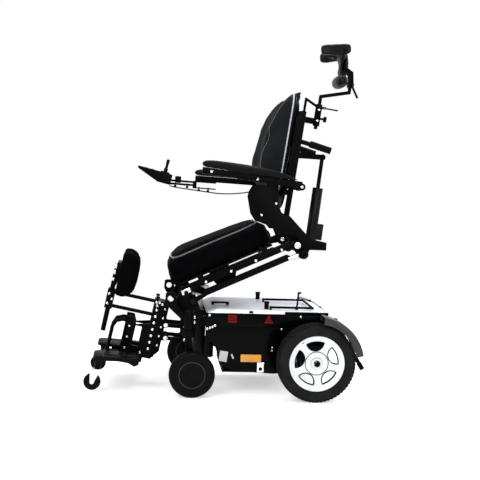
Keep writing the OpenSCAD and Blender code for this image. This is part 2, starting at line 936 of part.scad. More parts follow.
tyre_groove = 5;
tyre_groove_w = 4;
tyre_corner = 3.2;
tyre_steps = 28;
module tyre() color("#18181a") rotate_extrude($fn = 96) difference() {
    polygon([for (i = [0 : tyre_steps - 1]) let (p = squircle(360 * i / tyre_steps, tyre_corner))
        [(wheel_d + rim_d) / 4 + p[0] * (wheel_d - rim_d) / 4, p[1] * tyre_w / 2]]);
    for (at = [-1, 0, 1]) translate([wheel_d / 2 - tyre_groove, at * tyre_w / 5 - tyre_groove_w / 2])
        square([tyre_groove + over, tyre_groove_w]);
    translate([0, -tyre_w]) square([rim_d / 2, tyre_w * 2]);
}

disc_face = 16;
disc_t = 7;
rim_wall = 6;
rim_half = 34;
hub_r = 42;
hub_face = 24;
hub_core_r = 24;
hub_core_face = 30;
window_r_share = 0.8;
window_at_share = 0.78;
window_cut_share = 0.34;
window_turn = 24;
nut_r = 14;
nut_h = 9;
module wheel_disc() color("#f2f5f8") {
    difference() {
        rotate_extrude($fn = 96) polygon([[0, disc_face], [0, hub_core_face], [hub_core_r, hub_core_face],
            [hub_core_r, hub_face], [hub_r, hub_face], [hub_r + disc_t, disc_face + disc_t],
            [rim_d / 2 - rim_wall * 3, disc_face + disc_t], [rim_d / 2 - rim_wall, rim_half],
                [rim_d / 2 - seat_gap, rim_half],
            [rim_d / 2 - seat_gap, -rim_half], [rim_d / 2 - rim_wall, -rim_half], [rim_d / 2 - rim_wall,
                disc_face]]);
        for (i = [0 : window_count - 1]) rotate([0, 0, -window_turn - i * 360 / window_count])
            translate([0, 0, disc_face - over]) linear_extrude(disc_t + over * 2) intersection() {
                circle(r = rim_d / 2 * window_r_share);
                translate([rim_d / 2 * window_at_share, 0]) circle(r = rim_d / 2 * window_cut_share);
            }
    }
    translate([0, 0, -axle_reach]) cylinder(r = axle_r, h = axle_reach + disc_face + over);
    translate([0, 0, hub_core_face]) cylinder(r = nut_r, h = nut_h, $fn = 6);
}

module left_tyre() mirror([0, 1, 0]) around_axle(track / 2) tyre();
module right_tyre() around_axle(track / 2) tyre();
module left_wheel_disc() mirror([0, 1, 0]) around_axle(track / 2) wheel_disc();
module right_wheel_disc() around_axle(track / 2) wheel_disc();

// Casters: a single-sided fork inside each wheel

caster_leg_t = 11;
caster_side_gap = 2;
caster_axle_r = 7;
caster_boss_r = 17;
caster_leg_half = 15;
crown_h = 27;
crown_top_gap = 0.5;
crown_r = 27;
caster_z = caster_d / 2;
caster_x = swivel_x + caster_trail;
caster_leg_out = caster_track / 2 - caster_w / 2 - caster_side_gap;
caster_leg_in = caster_leg_out - caster_leg_t;
crown_top = barrel_low - crown_top_gap;
crown_low = crown_top - crown_h;
swivel_pin_top = barrel_low + barrel_h - barrel_cap - crown_top_gap;

module caster_fork() color("#1e1e20") {
    translate([swivel_x, caster_track / 2, crown_low]) cylinder(r = crown_r, h = crown_h);
    translate([swivel_x, caster_track / 2, crown_top - over])
        cylinder(r = swivel_r, h = swivel_pin_top - crown_top + over);
    translate([swivel_x - caster_leg_half, caster_leg_in, crown_low])
        cube([caster_leg_half * 2, caster_track / 2 - caster_leg_in, crown_h - over]);
    plate(caster_leg_in, caster_leg_out) polygon([[swivel_x - caster_leg_half, crown_low + over],
        [swivel_x + caster_leg_half, crown_low + over], [caster_x + caster_boss_r, caster_z],
        [caster_x - caster_boss_r, caster_z]]);
    rod([caster_x, caster_z], caster_leg_in, caster_leg_out, caster_boss_r);
    rod([caster_x, caster_z], caster_leg_out - over, caster_track / 2 + caster_w / 2 - caster_side_gap,
        caster_axle_r);
}

caster_tread = 18;
caster_dish = 5;
caster_hub_r = 26;
module caster_wheel() color("#1b1b1d") translate([caster_x, caster_track / 2, caster_z]) rotate([-90, 0, 0])
    rotate_extrude($fn = 96) polygon(concat(
        [[caster_axle_r + fit, -caster_w / 2], [caster_hub_r, -caster_w / 2],
            [caster_hub_r, -caster_w / 2 + caster_dish],
                [caster_d / 2 - caster_tread, -caster_w / 2 + caster_dish]],
        [for (i = [0 : 8]) let (p = squircle(i * 22.5 - 90, 3))
            [caster_d / 2 - caster_tread + p[0] * caster_tread, p[1] * caster_w / 2]],
        [[caster_d / 2 - caster_tread, caster_w / 2 - caster_dish],
            [caster_hub_r, caster_w / 2 - caster_dish],
            [caster_hub_r, caster_w / 2], [caster_axle_r + fit, caster_w / 2]]));

module left_caster_fork() mirror([0, 1, 0]) caster_fork();
module right_caster_fork() caster_fork();
module left_caster_wheel() mirror([0, 1, 0]) caster_wheel();
module right_caster_wheel() caster_wheel();

// Seat lift

crank_pin = crank_len * [cos(crank_droop), -sin(crank_droop)];

module seat_frame() color("#1a1b1d") on_seat() difference() {
    union() {
        both() {
            plate(lift_rail_in, lift_rail_out) {
                for (s = [0, lift_len]) translate([s, 0]) circle(r = lift_eye_r);
                polygon([[0, -lift_rail_neck], [lift_rail_end, 0], [lift_len - lift_rail_end, 0],
                    [lift_len, -lift_rail_neck], [lift_len, lift_rail_neck], [lift_len - lift_rail_neck,
                        lift_rail_top],
                    [lift_rail_neck, lift_rail_top], [0, lift_rail_neck]]);
            }
            plate(gusset_in, gusset_in + gusset_t) polygon([for (p = gusset_shares)
                [gusset_start + p[0] * gusset_len, lift_rail_top - p[1] * gusset_h]]);
            translate([gusset_start + gusset_len * gusset_foot_share, gusset_in + gusset_t - over, over])
                cube([gusset_len * gusset_foot_share, lift_rail_in - gusset_in - gusset_t + over * 2,
                    lift_rail_top - over * 2]);
            plate(crank_in, crank_in + crank_t) {
                circle(r = shaft_r + crank_t);
                translate(crank_pin) circle(r = crank_end_r);
                rotate(-crank_droop) translate([0, -crank_end_r * web_share])
                    square([crank_len, crank_end_r * web_share * 2]);
            }
        }
        rod([0, 0], -lift_rail_in - over, lift_rail_in + over, shaft_r);
        rod(crank_pin, -crank_in - over, crank_in + over, crank_pin_r);
        for (s = [beam_front, beam_rear]) translate([s, -lift_rail_in - over, beam_low])
            cube([beam_len, lift_rail_in * 2 + over * 2, pan_low - beam_low + over]);
        translate([pan_front, -pan_half, pan_low]) cube([pan_rear - pan_front, pan_half * 2, pan_t]);
    }
    both() rod([lift_len, 0], lift_rail_in - over, lift_rail_out + over, rail_bolt_r + fit);
}

seat_low = pan_low + pan_t + seat_gap;
module seat_cushion() color("#202124") on_seat() translate([seat_start + seat_len / 2, 0, seat_low])
    padding(seat_len, seat_w, boxed_rings, function(u, v)
        (seat_front_h + seat_rear_h) / 2 - u * (seat_front_h - seat_rear_h) / 2
        - seat_roll_drop * pow(max(0, 1 - (u + 1) * seat_len / 2 / seat_roll), 2), tuck = seat_tuck);

module lower_links() color("#1a1b1d") both() translate([p3[0], 0, p3[1]]) rotate([0, -seat_tilt, 0])
    difference() {
    union() {
        plate(lift_rail_in, link_out) {
            for (s = [0, lift_len]) translate([s, 0]) circle(r = link_end_r);
            polygon([[0, -link_neck], [link_end, 0], [lift_len - link_end, 0], [lift_len, -link_neck],
                [lift_len, link_neck], [lift_len - link_end + link_ramp, link_neck], [lift_len - link_end,
                    link_top],
                [link_end, link_top], [link_end - link_ramp, link_neck], [0, link_neck]]);
        }
    }
    for (s = [0, lift_len]) rod([s, 0], lift_rail_in - over, link_out + over, link_bolt_r + fit);
}

module lift_actuator() color("#2a2b2e") difference() {
    union() {
        translate([rod_x, 0, lift_body_low]) cylinder(r = lift_body_r, h = rail_top - rail_h - lift_body_low);
        translate([rod_x, 0, rail_top - rail_h - shelf_t]) cylinder(r = lift_flange_r, h = shelf_t);
        translate([rod_x, 0, rail_top - rail_h - over]) cylinder(r = lift_tube_r, h = rail_h + over);
        translate([rod_x + lift_motor_x, 0, lift_body_low]) cylinder(r = lift_motor_r, h = lift_motor_h);
        translate([rod_x, -lift_motor_r / 2, lift_body_low])
            cube([lift_motor_x, lift_motor_r, lift_motor_h / 2]);
    }
    translate([rod_x, 0, lift_tube_low]) cylinder(r = lift_rod_r + fit, h = rail_top);
}

module lift_rod() color("#d0d3d6") difference() {
    union() {
        translate([rod_x, 0, lift_rod_low]) cylinder(r = lift_rod_r,
            h = pin_z - head_half - lift_rod_low + over);
        translate([rod_x - head_len / 2, -head_w / 2, pin_z - head_half])
            cube([head_len, head_w, head_half * 2]);
    }
    translate([rod_x - slot_len / 2, -head_w / 2 - over, pin_z - crank_pin_r - slot_slack])
        cube([slot_len, head_w + over * 2, (crank_pin_r + slot_slack) * 2]);
}

// Back carrier and recline

module carrier_outline() {
    translate(p2) circle(r = carrier_r);
    translate(p4) circle(r = link_boss_r);
    translate(pb) circle(r = carrier_back_r);
    polygon([pb + [-carrier_back_r, 0], pb + carrier_back_r * chord_share * [1, 1],
        p2 + [carrier_belly, carrier_shoulder], p2 + [carrier_tip, carrier_tip_high],
        p2 + [carrier_tip, carrier_tip_low], p2 + [carrier_belly, carrier_tip_low],
        p4 + [link_boss_r, 0], p4 - link_boss_r * chord_share * [1, 1], p2 + [-carrier_r, 0]]);
}

module back_carrier() color("#1c1d1f") {
    both() difference() {
        plate(upright_in, pivot_plane) carrier_outline();
        rod(p2, upright_in - over, pivot_plane + over, rail_bolt_r + fit);
        rod(p4, upright_in - over, pivot_plane + over, link_bolt_r + fit);
        rod(pb, upright_in - over, pivot_plane + over, link_bolt_r + fit);
    }
    rod(p2 + [carrier_tube_back, carrier_tube_rise], -upright_in - over, upright_in + over, carrier_tube_r);
    rod(pr, -upright_in - over, upright_in + over, recline_pin_r);
}

module carrier_bolts() color("#e1e3e6") both() {
    bolt(p2, upright_in, lift_rail_out + seat_gap, rail_bolt_r);
    bolt(p4, upright_in, link_out + seat_gap, link_bolt_r);
    bolt(pb, back_tube_y - back_tube_r, pivot_plane, link_bolt_r);
}

module side_guard(width) {
    plate(guard_y, guard_y + guard_t) polygon([for (p = guard_shares)
        pb + [guard_rear - (1 - p[0]) * width, -guard_drop + p[1] * guard_h]]);
    for (place = spacer_places) rod(pb + place, pivot_plane, guard_y + over, spacer_r);
}
module side_guards() color("#161618") {
    mirror([0, 1, 0]) side_guard(guard_w);
    side_guard(guard_w * guard_right_share);
}

pl = pb + lug_back * [cos(back_lean), -sin(back_lean)] + lug_up * [sin(back_lean), cos(back_lean)];
recline_dir = (pl - pr) / norm(pl - pr);
recline_turn = atan2(recline_dir[0], recline_dir[1]);
module on_recline() translate([pr[0], 0, pr[1]]) rotate([0, recline_turn, 0]) children();

module recline_actuator() color("#3c3e42") on_recline() difference() {
    union() {
        rod([0, 0], -recline_in, recline_in, recline_eye_r);
        cylinder(r = recline_body_r, h = recline_body_len);
        translate([recline_motor_at, -recline_motor_w / 2, recline_eye_r])
            cube([recline_motor_w, recline_motor_w, recline_motor_len]);
    }
    rod([0, 0], -recline_in - recline_body_r, recline_in + recline_body_r, recline_pin_r + fit);
    translate([0, 0, recline_body_len - recline_bore]) cylinder(r = recline_rod_r + fit,
        h = recline_bore + over);
}

module recline_rod() color("#2a2b2d") on_recline() difference() {
    union() {
        translate([0, 0, recline_body_len - recline_rod_in])
            cylinder(r = recline_rod_r, h = norm(pl - pr) - recline_body_len + recline_rod_in);
        rod([0, norm(pl - pr)], -rod_eye_w / 2, rod_eye_w / 2, rod_eye_r);
    }
    rod([0, norm(pl - pr)], -rod_eye_w / 2 - over, rod_eye_w / 2 + over, lug_pin_r + lug_slack);
}

// Back

module back_frame() color("#1b1c1e") on_back() difference() {
    union() {
        both() {
            translate([0, back_tube_y, back_tube_foot]) cylinder(r = back_tube_r,
                h = back_tube_top - back_tube_foot);
            for (up = back_tab_up) translate([shell_rear, back_tube_y - back_tube_r / 2, up])
                cube([-shell_rear, back_tube_r, back_tab_h]);
            plate(back_tube_y, arm_ear_out) {
                translate([arm_pivot_back, arm_pivot_up]) circle(r = arm_ear_r);
                translate([0, arm_pivot_up - arm_ear_r * web_share])
                    square([arm_pivot_back, arm_ear_r * web_share * 2]);
            }
            plate(lug_in, lug_in + lug_t) {
                translate([0, lug_root_up]) circle(r = lug_root_r);
                translate([lug_back, lug_up]) circle(r = lug_r);
                polygon([[0, lug_root_up - lug_root_r * web_share], [lug_back, lug_up - lug_r * web_share],
                    [lug_back, lug_up + lug_r * web_share], [0, lug_root_up + lug_root_r * web_share]]);
            }
        }
        for (up = back_cross_up) rod([0, up], -back_tube_y, back_tube_y, back_cross_r);
        rod([lug_back, lug_up], -lug_in - over, lug_in + over, lug_pin_r);
    }
    both() {
        rod([0, 0], back_tube_y - back_tube_r - over, back_tube_y + back_tube_r + over, link_bolt_r + fit);
        rod([arm_pivot_back, arm_pivot_up], back_tube_y + back_tube_r, arm_ear_out + over, arm_pivot_r + fit);
    }
}

module back_shell() color("#232427") on_back() {
    translate([shell_rear - shell_t, 0, 0]) rotate([90, 0, 90])
        linear_extrude(shell_t) polygon([for (i = [0 : pad_points - 1])
            let (p = squircle(360 * i / pad_points, pad_corner))
            [p[0] * shell_half, (shell_low + shell_top) / 2 + p[1] * (shell_top - shell_low) / 2]]);
    both() translate([shell_rear - over, shell_half - cheek_in, cheek_low])
        cube([cheek_deep, cheek_t, cheek_top - cheek_low]);
}

module back_cushion() color("#242529") on_back()
    translate([shell_rear - shell_t - seat_gap, 0, back_low + back_h / 2]) rotate([0, -90, 0])
    padding(back_h, back_w, concat([[back_flat_share, 0]], rolled_rings),
        function(u, v) let (w = (u + 1) / 2, s = back_swell_share)
            back_t * (1 - (w < s ? (1 - back_low_share) * pow((s - w) / s, 2)
                : (1 - back_top_share) * pow((w - s) / (1 - s), 2)))
            * (1 - back_hollow_share * pow(1 - v * v, 2)) - back_rear(u),
        function(u, v) back_rear(u));
function back_rear(u) = -back_roll * max(0,
    ((u + 1) / 2 - back_roll_from_share) / (1 - back_roll_from_share));

module push_grips() color("#19191b") on_back() both() {
    root = [back_tube_r - over / 2, back_tube_y, handle_up];
    tip = [handle_back, back_tube_y, handle_up - handle_drop];
    difference() {
        strut(root - [back_tube_r, 0, 0], tip, handle_r);
        translate([0, back_tube_y, back_tube_foot]) cylinder(r = back_tube_r,
            h = back_tube_top - back_tube_foot);
    }
    strut(tip - (tip - root) / norm(tip - root) * grip_len, tip, grip_r);
}

// Headrest

module headrest_clamp() color("#1d1e20") on_back() difference() {
    union() {
        translate([socket_back, 0, socket_low]) cylinder(r = socket_r, h = socket_top - socket_low);
        translate([0, -clamp_arm_half, clamp_arm_up - clamp_arm_h / 2])
            cube([socket_back, clamp_arm_half * 2, clamp_arm_h]);
        strut([brace_back, 0, brace_up], [socket_back, 0, socket_top - socket_r], brace_r);
        strut([brace_back, 0, brace_up], [brace_back, 0, clamp_arm_up], brace_r);
        translate([brace_back, 0, brace_up]) sphere(r = brace_r * knuckle_share);
        translate([socket_back, 0, knob_up]) rotate([0, 90, 0]) cylinder(r = knob_neck_r,
            h = socket_r + knob_neck_len);
        translate([socket_back + socket_r + knob_neck_len - over, 0, knob_up]) rotate([0, 90, 0])
            cylinder(r = knob_r, h = knob_len);
        rod([socket_back, lever_up], -lever_in, lever_in, lever_pin_r);
    }
    rod([0, back_cross_up[1]], -clamp_arm_half - over, clamp_arm_half + over, back_cross_r);
    translate([socket_back, 0, socket_low - over]) cylinder(r = stem_d / 2 + fit,
        h = socket_top - socket_low + over * 2);
}

module stem_lever() color("#202124") on_back() difference() {
    union() {
        for (side = [-1, 1]) plate(side * (socket_r + lever_t / 2 + seat_gap) - lever_t / 2,
            side * (socket_r + lever_t / 2 + seat_gap) + lever_t / 2) {
            translate([socket_back, lever_up]) circle(r = lever_t);
            translate([socket_back, lever_up - lever_t / 2]) square([socket_r + lever_t * 2, lever_t]);
        }
        translate([socket_back + socket_r + lever_t, -socket_r - lever_t - seat_gap, lever_up - lever_t / 2])
            cube([lever_t, (socket_r + lever_t + seat_gap) * 2, lever_t]);
        translate([socket_back + socket_r + lever_t + over, 0, lever_up]) rotate([0, 90, 0])
            cylinder(r = lever_t / 2, h = lever_len);
    }
    rod([socket_back, lever_up], -socket_r - lever_t * 2, socket_r + lever_t * 2, lever_pin_r + fit);
}

module headrest_stem() color("#e3e5e8") on_back() difference() {
    union() {
        bend([[socket_back, 0, stem_low], [socket_back, 0, stem_bend], [stem_back, 0, stem_rise],
            [stem_back, 0, stem_top]], stem_d / 2);
        rod([stem_back, stem_eye_up], -stem_eye_half, stem_eye_half, stem_eye_r);
    }
    rod([stem_back, stem_eye_up], -stem_eye_half - over, stem_eye_half + over, stem_pin_r + fit);
}

module headrest_bracket() color("#232427") on_back() {
    both() plate(bracket_in, bracket_in + bracket_t) {
        translate([stem_back, stem_eye_up]) circle(r = stem_eye_r);
        polygon([[stem_back - stem_eye_r * web_share, stem_eye_up],
            [stem_back + stem_eye_r * web_share, stem_eye_up],
            [stem_back, bracket_bend_up + bracket_w], [head_rear + over, stem_eye_up + bracket_rise],
            [head_rear + over, stem_eye_up + bracket_rise - bracket_w],
            [stem_back - bracket_w, bracket_bend_up]]);
    }
    rod([stem_back, stem_eye_up], -bracket_in - over, bracket_in + over, stem_pin_r);
    translate([head_rear, -bracket_reach, stem_eye_up + bracket_rise - bracket_half])
        cube([bracket_t, bracket_reach * 2, bracket_half * 2]);
    translate([stem_back, -bracket_in - bracket_t, stem_eye_up]) rotate([0, bracket_lever_tilt, 0])
        translate([0, over - bracket_lever_r, 0]) cylinder(r = bracket_lever_r, h = bracket_lever_len);
}

module headrest_pad() color("#26272a") on_back() {
    translate([head_rear - seat_gap, 0, (head_low + head_high) / 2]) rotate([0, -90, 0])
        padding(head_high - head_low, head_half_w * 2, rolled_rings, function(u, v) head_t);
    translate([neck_back, 0, neck_up]) rotate([90, 0, 0]) rotate_extrude()
        polygon([for (i = [-8 : 8]) let (p = squircle(i * 90 / 8, 3)) [p[0] * neck_r, p[1] * neck_half]]);
    for (side = [0, 1]) mirror([0, 1 - side, 0])
        translate([(wing_front[side] + wing_rear) / 2, headrest_w / 2, wing_up])
            rotate([0, -wing_turn, 0]) rotate([90, 0, 0])
            padding(wing_rear - wing_front[side], wing_h, rolled_rings,
                function(u, v) wing_t * (1 + wing_swell_share * (u + 1)));
}

// Armrests

module arm_frame(slope) color("#1c1d1f") on_arm(slope) {
    translate([-arm_bar_front, arm_y - arm_bar_w / 2, arm_bar_top - arm_bar_h])
        cube([arm_bar_front, arm_bar_w, arm_bar_h]);
    rod([0, 0], arm_y - arm_bar_w / 2, arm_y + arm_bar_w / 2, arm_knuckle_r);
    rod([0, 0], arm_pin_in, arm_y, arm_pivot_r);
    for (at = arm_bolts) rod([-at, arm_bar_top - arm_bar_h / 2], arm_y + arm_bar_w / 2 - over,
        arm_y + arm_bar_w / 2 + arm_bolt_t, arm_bolt_r);
}

module arm_pad(slope) color("#3a3b3f") on_arm(slope)
    translate([-arm_pad_rear - arm_pad_len / 2, arm_y, arm_bar_top + seat_gap])
    padding(arm_pad_len, arm_pad_w, rolled_rings, function(u, v)
        arm_pad_h * (1 - arm_taper_share * pow(max(0,
            u - arm_taper_from_share) / (1 - arm_taper_from_share), 2)));

module left_arm_frame() mirror([0, 1, 0]) arm_frame(arm_slope);
module left_arm_pad() mirror([0, 1, 0]) arm_pad(arm_slope);
module right_arm_frame() arm_frame(joystick_arm_slope);
module right_arm_pad() arm_pad(joystick_arm_slope);

// Joystick

module joystick_mount() color("#222326") on_arm(joystick_arm_slope) {
    low = arm_bar_top - arm_bar_h;
    translate([-mount_front, arm_y - arm_bar_w / 2, low - mount_h]) difference() {
        cube([mount_len, arm_bar_w, mount_h]);
        translate([mount_wall * 3, -over, mount_wall])
            cube([mount_len, arm_bar_w + over * 2, mount_h - mount_wall * 2]);
    }
    difference() {
        for (drop = [mount_rod_drop, mount_rod_drop - mount_rod_step])
            translate([-pod_ahead, arm_y, -drop]) rotate([0, 90, 0])
                cylinder(r = mount_rod_r, h = pod_ahead - mount_front + over);
        translate([-pod_ahead, arm_y - pod_w / 2, pod_rise]) rotate([0, pod_tilt, 0])
            translate([-pod_len * (1 - pod_rear_share), 0, -pod_len]) cube([pod_len, pod_w, pod_len * 2]);
    }
}

module joystick_pod() color("#1a1a1c") on_pod() difference() {
    union() {
        plate(-pod_w / 2, pod_w / 2) polygon([for (p = pod_shares)
            [pod_len * (pod_rear_share - p[0]), -pod_depth * p[1]]]);
        cylinder(r = pod_collar_r, h = pod_collar_h);
    }
    translate([0, 0, socket_cut_z]) cylinder(r = socket_cut_r, h = pod_depth);
    rod([0, pivot_z], -pod_collar_r, pod_collar_r, trunnion_r + fit);
    for (at = [power_at, speed_at]) translate([-at, 0, button_proud - button_h - button_travel - seat_gap])
        cylinder(r = button_r + seat_gap, h = pod_depth);
}

module button(at) translate([-at, 0, button_proud - button_h]) cylinder(r = button_r, h = button_h);
module power_button() color("#2f8f4e") on_pod() button(power_at);
module speed_button() color("#8b9096") on_pod() button(speed_at);

module stick_gimbal() color("#777b80") on_pod() translate([0, 0, pivot_z]) difference() {
    union() {
        translate([0, 0, -gimbal_h / 2]) cylinder(r = gimbal_out, h = gimbal_h);
        rod([0, 0], -socket_cut_r - trunnion_r, socket_cut_r + trunnion_r, trunnion_r);
    }
    translate([0, 0, -gimbal_h]) cylinder(r = gimbal_in, h = gimbal_h * 2);
    translate([-gimbal_out - over, 0, 0]) rotate([0, 90, 0]) cylinder(r = trunnion_r + fit,
        h = (gimbal_out + over) * 2);
}

module joystick_stick() color("#151517") on_pod() translate([0, 0, pivot_z]) {
    sphere(r = ball_r);
    translate([-gimbal_out, 0, 0]) rotate([0, 90, 0]) cylinder(r = trunnion_r, h = gimbal_out * 2);
    cylinder(r = stick_r, h = stick_h - pivot_z - knob_top_r);
    translate([0, 0, ball_r / 2]) cylinder(r1 = ball_r / 2, r2 = boot_r, h = boot_h / 2);
    translate([0, 0, (ball_r + boot_h) / 2]) cylinder(r1 = boot_r, r2 = stick_r + over, h = boot_h);
    translate([0, 0, stick_h - pivot_z - knob_top_r]) sphere(r = knob_top_r);
}

// Lead: an eight-sided tube swept along its route
function unit(v) = v / norm(v);
function route_dir(i) = let (n = len(cable_route) - 1)
    unit(cable_route[min(i + 1, n)] - cable_route[max(i - 1, 0)]);
module joystick_cable() color("#111112") on_arm(joystick_arm_slope) {
    n = len(cable_route);
    points = [for (i = [0 : n - 1]) let (d = route_dir(i), a = unit(cross(d, [0, 1, 0])), b = cross(d, a))
        for (k = [0 : cable_sides - 1]) let (t = 360 * k / cable_sides)
            cable_route[i] + cable_r * (cos(t) * a + sin(t) * b)];
    walls = [for (i = [0 : n - 2]) for (k = [0 : cable_sides - 1])
        let (p = i * cable_sides + k, q = i * cable_sides + (k + 1) % cable_sides)
        each [[p, p + cable_sides, q + cable_sides], [p, q + cable_sides, q]]];
    first = [for (k = [0 : cable_sides - 1]) k];
    last = [for (k = [0 : cable_sides - 1]) n * cable_sides - 1 - k];
    polyhedron(points, concat(walls, [first, last]));
}

// Legrest

module leg_links(z) color("#1d1e20") {
    from = ahead(leg_base_ahead, z);
    to = from + [-leg_link_len, leg_link_rise];
    both() plate(leg_plate_out + leg_link_gap, leg_plate_out + leg_link_gap + leg_link_t) {
        translate(from) circle(r = leg_link_half * link_eye_share);
        translate(to) circle(r = leg_link_half * link_eye_share);
        polygon([from + [0, -leg_link_half], from + [0, leg_link_half],
            to + [0, leg_link_half], to + [0, -leg_link_half]]);
    }
    for (place = [from, to]) rod(place, -leg_plate_out - leg_link_t, leg_plate_out + leg_link_t, leg_pin_r);
}
module leg_upper_links() leg_links(leg_link_z[1]);
module leg_lower_links() leg_links(leg_link_z[0]);

module leg_column() color("#1b1c1e") difference() {
    union() {
        on_leg() {
            both() {
                plate(leg_plate_in, leg_plate_out) difference() {
                    union() {
                        polygon([[leg_front, leg_low], [leg_toe, leg_low], [leg_rear, leg_low + leg_bevel],
                            [leg_rear, leg_top], [leg_front, leg_top]]);
                        polygon([[frame_front, frame_low], [leg_front + over, frame_low], [leg_front + over,
                            frame_top],
                            [window_front, frame_top - frame_brow], [window_front - frame_brow,
                                frame_top + frame_brow],
                            [frame_front, frame_top + frame_brow]]);
                    }
                    translate([window_front, window_low])
                        square([window_rear - window_front, window_top - window_low]);
                }
                bend([[hoop_front, hoop_y, carry_low + over], [hoop_front, hoop_y, hoop_top - hoop_turn],
                    [hoop_front + hoop_turn * hoop_knee_share, hoop_y,
                        hoop_top - hoop_turn * hoop_knee_share],
                    [hoop_front + hoop_turn, hoop_y, hoop_top], [frame_front + over, hoop_y, hoop_top]],
                        hoop_r);
            }
            translate([leg_front + core_in, -leg_plate_in - over, leg_low + core_low])
                cube([leg_rear - leg_front - core_in * 3, (leg_plate_in + over) * 2,
                    leg_column_h - core_low]);
            for (up = knee_bar_up) strut([post_x, 0, up], [leg_front + core_in * 2, 0, up], knee_bar_r);
            translate([post_x - clamp_half_x, -clamp_half_y, clamp_low])
                cube([clamp_half_x * 2, clamp_half_y * 2, clamp_top - clamp_low]);
        }
        on_foot() {
            translate([carry_front, -carry_half, carry_low])
                cube([leg_front - carry_front, carry_half * 2, carry_t]);
            both() for (at = hinge_ends) {
                translate([at, foot_hinge_y, foot_hinge_up]) rotate([0, 90, 0])
                    cylinder(r = knuckle_r, h = knuckle_len);
                translate([at, carry_half - over, carry_low])
                    cube([knuckle_len, foot_hinge_y - carry_half + over, carry_t]);
            }
        }
        both() for (z = leg_link_z) plate(leg_plate_in + leg_boss_inset, leg_plate_out - leg_boss_inset) {
            pin = ahead(leg_base_ahead + leg_link_len, z + leg_link_rise);
            translate(pin) circle(r = leg_boss_r);
            translate(pin - [leg_boss_reach, leg_boss_r * boss_web_share])
                square([leg_boss_reach, leg_boss_r * boss_web_share * 2]);
        }
        rod(ahead(tip_ahead, tip_beam_z), -tip_y, tip_y, tip_beam_r);
        for (side = [-1, 1]) translate([axle_x - tip_ahead, side * tip_y, tip_boss_low])
            cylinder(r = tip_boss_r, h = tip_boss_h);
        plate(-tip_arm_half, tip_arm_half) polygon([for (p = tip_arm_shares)
            ahead(tip_ahead - p[0] * tip_arm_reach, tip_beam_z + p[1] * tip_arm_rise)]);
    }
    for (side = [-1, 1]) translate([axle_x - tip_ahead, side * tip_y, tip_boss_low - over])
        cylinder(r = tip_stem_r + fit, h = tip_boss_h);
    for (z = leg_link_z) rod(ahead(leg_base_ahead + leg_link_len, z + leg_link_rise), -leg_plate_out - over,
        leg_plate_out + over, leg_pin_r + fit);
    on_leg() {
        translate([post_x, 0, clamp_low - over]) cylinder(r = post_r + fit,
            h = clamp_top - clamp_low + over * 2);
        both() for (i = [0 : hole_count - 1])
            rod([hole_at, hole_start + i * hole_step], leg_plate_in + over * 2, leg_plate_out + over, hole_r);
    }
    on_foot() both() translate([foot_hinge_front - over, foot_hinge_y, foot_hinge_up]) rotate([0, 90, 0])
        cylinder(r = foot_hinge_r + fit, h = foot_hinge_len + over * 2);
}

foot_outer = foot_hinge_y + knuckle_r + side_gap + foot_w - side_gap * 2;
module footplate() color("#232427") on_foot() difference() {
    union() {
        translate([foot_rear - foot_len / 2, foot_hinge_y + knuckle_r + side_gap + foot_w / 2,
            foot_top - foot_t])
            linear_extrude(foot_t) polygon([for (i = [0 : pad_points - 1])
                let (p = squircle(360 * (i + 0.5) / pad_points, pad_corner))
                [p[0] * foot_len / 2, p[1] * foot_w / 2]]);
        plate(foot_outer - skirt_t, foot_outer) polygon([for (p = skirt_shares)
            [foot_rear - foot_len * (1 - skirt_inset_share) + foot_len * (1 - skirt_inset_share * 2) * p[0],
                foot_top - over - skirt_drop * p[1]]]);
        for (i = [1 : foot_rib_count])
            translate([foot_rear - foot_len * i / (foot_rib_count + 1) - foot_rib_w / 2,
            foot_hinge_y + foot_w * foot_corner_share, foot_top - over])
            cube([foot_rib_w, foot_w * foot_rib_share, foot_rib_h + over]);
        translate([foot_hinge_front + knuckle_len + side_gap, foot_hinge_y, foot_hinge_up])
            rotate([0, 90, 0])
            cylinder(r = knuckle_r - over, h = foot_hinge_len - (knuckle_len + side_gap) * 2);
        translate([foot_hinge_front + knuckle_len + side_gap, foot_hinge_y, foot_top - foot_t])
            cube([foot_hinge_len - (knuckle_len + side_gap) * 2, foot_w / 2, foot_t - over]);
        translate([foot_hinge_front, foot_hinge_y, foot_hinge_up]) rotate([0, 90, 0])
            cylinder(r = foot_hinge_r, h = foot_hinge_len);
    }
    for (at = foot_slot_shares) translate([foot_rear - foot_len * at - foot_slot_len / 2,
        foot_hinge_y + foot_w * foot_slot_at_share, foot_top - foot_t - over])
        cube([foot_slot_len, foot_slot_w, foot_t + foot_rib_h + over * 2]);
}
module left_footplate() mirror([0, 1, 0]) footplate();
module right_footplate() footplate();

// Front anti-tip casters

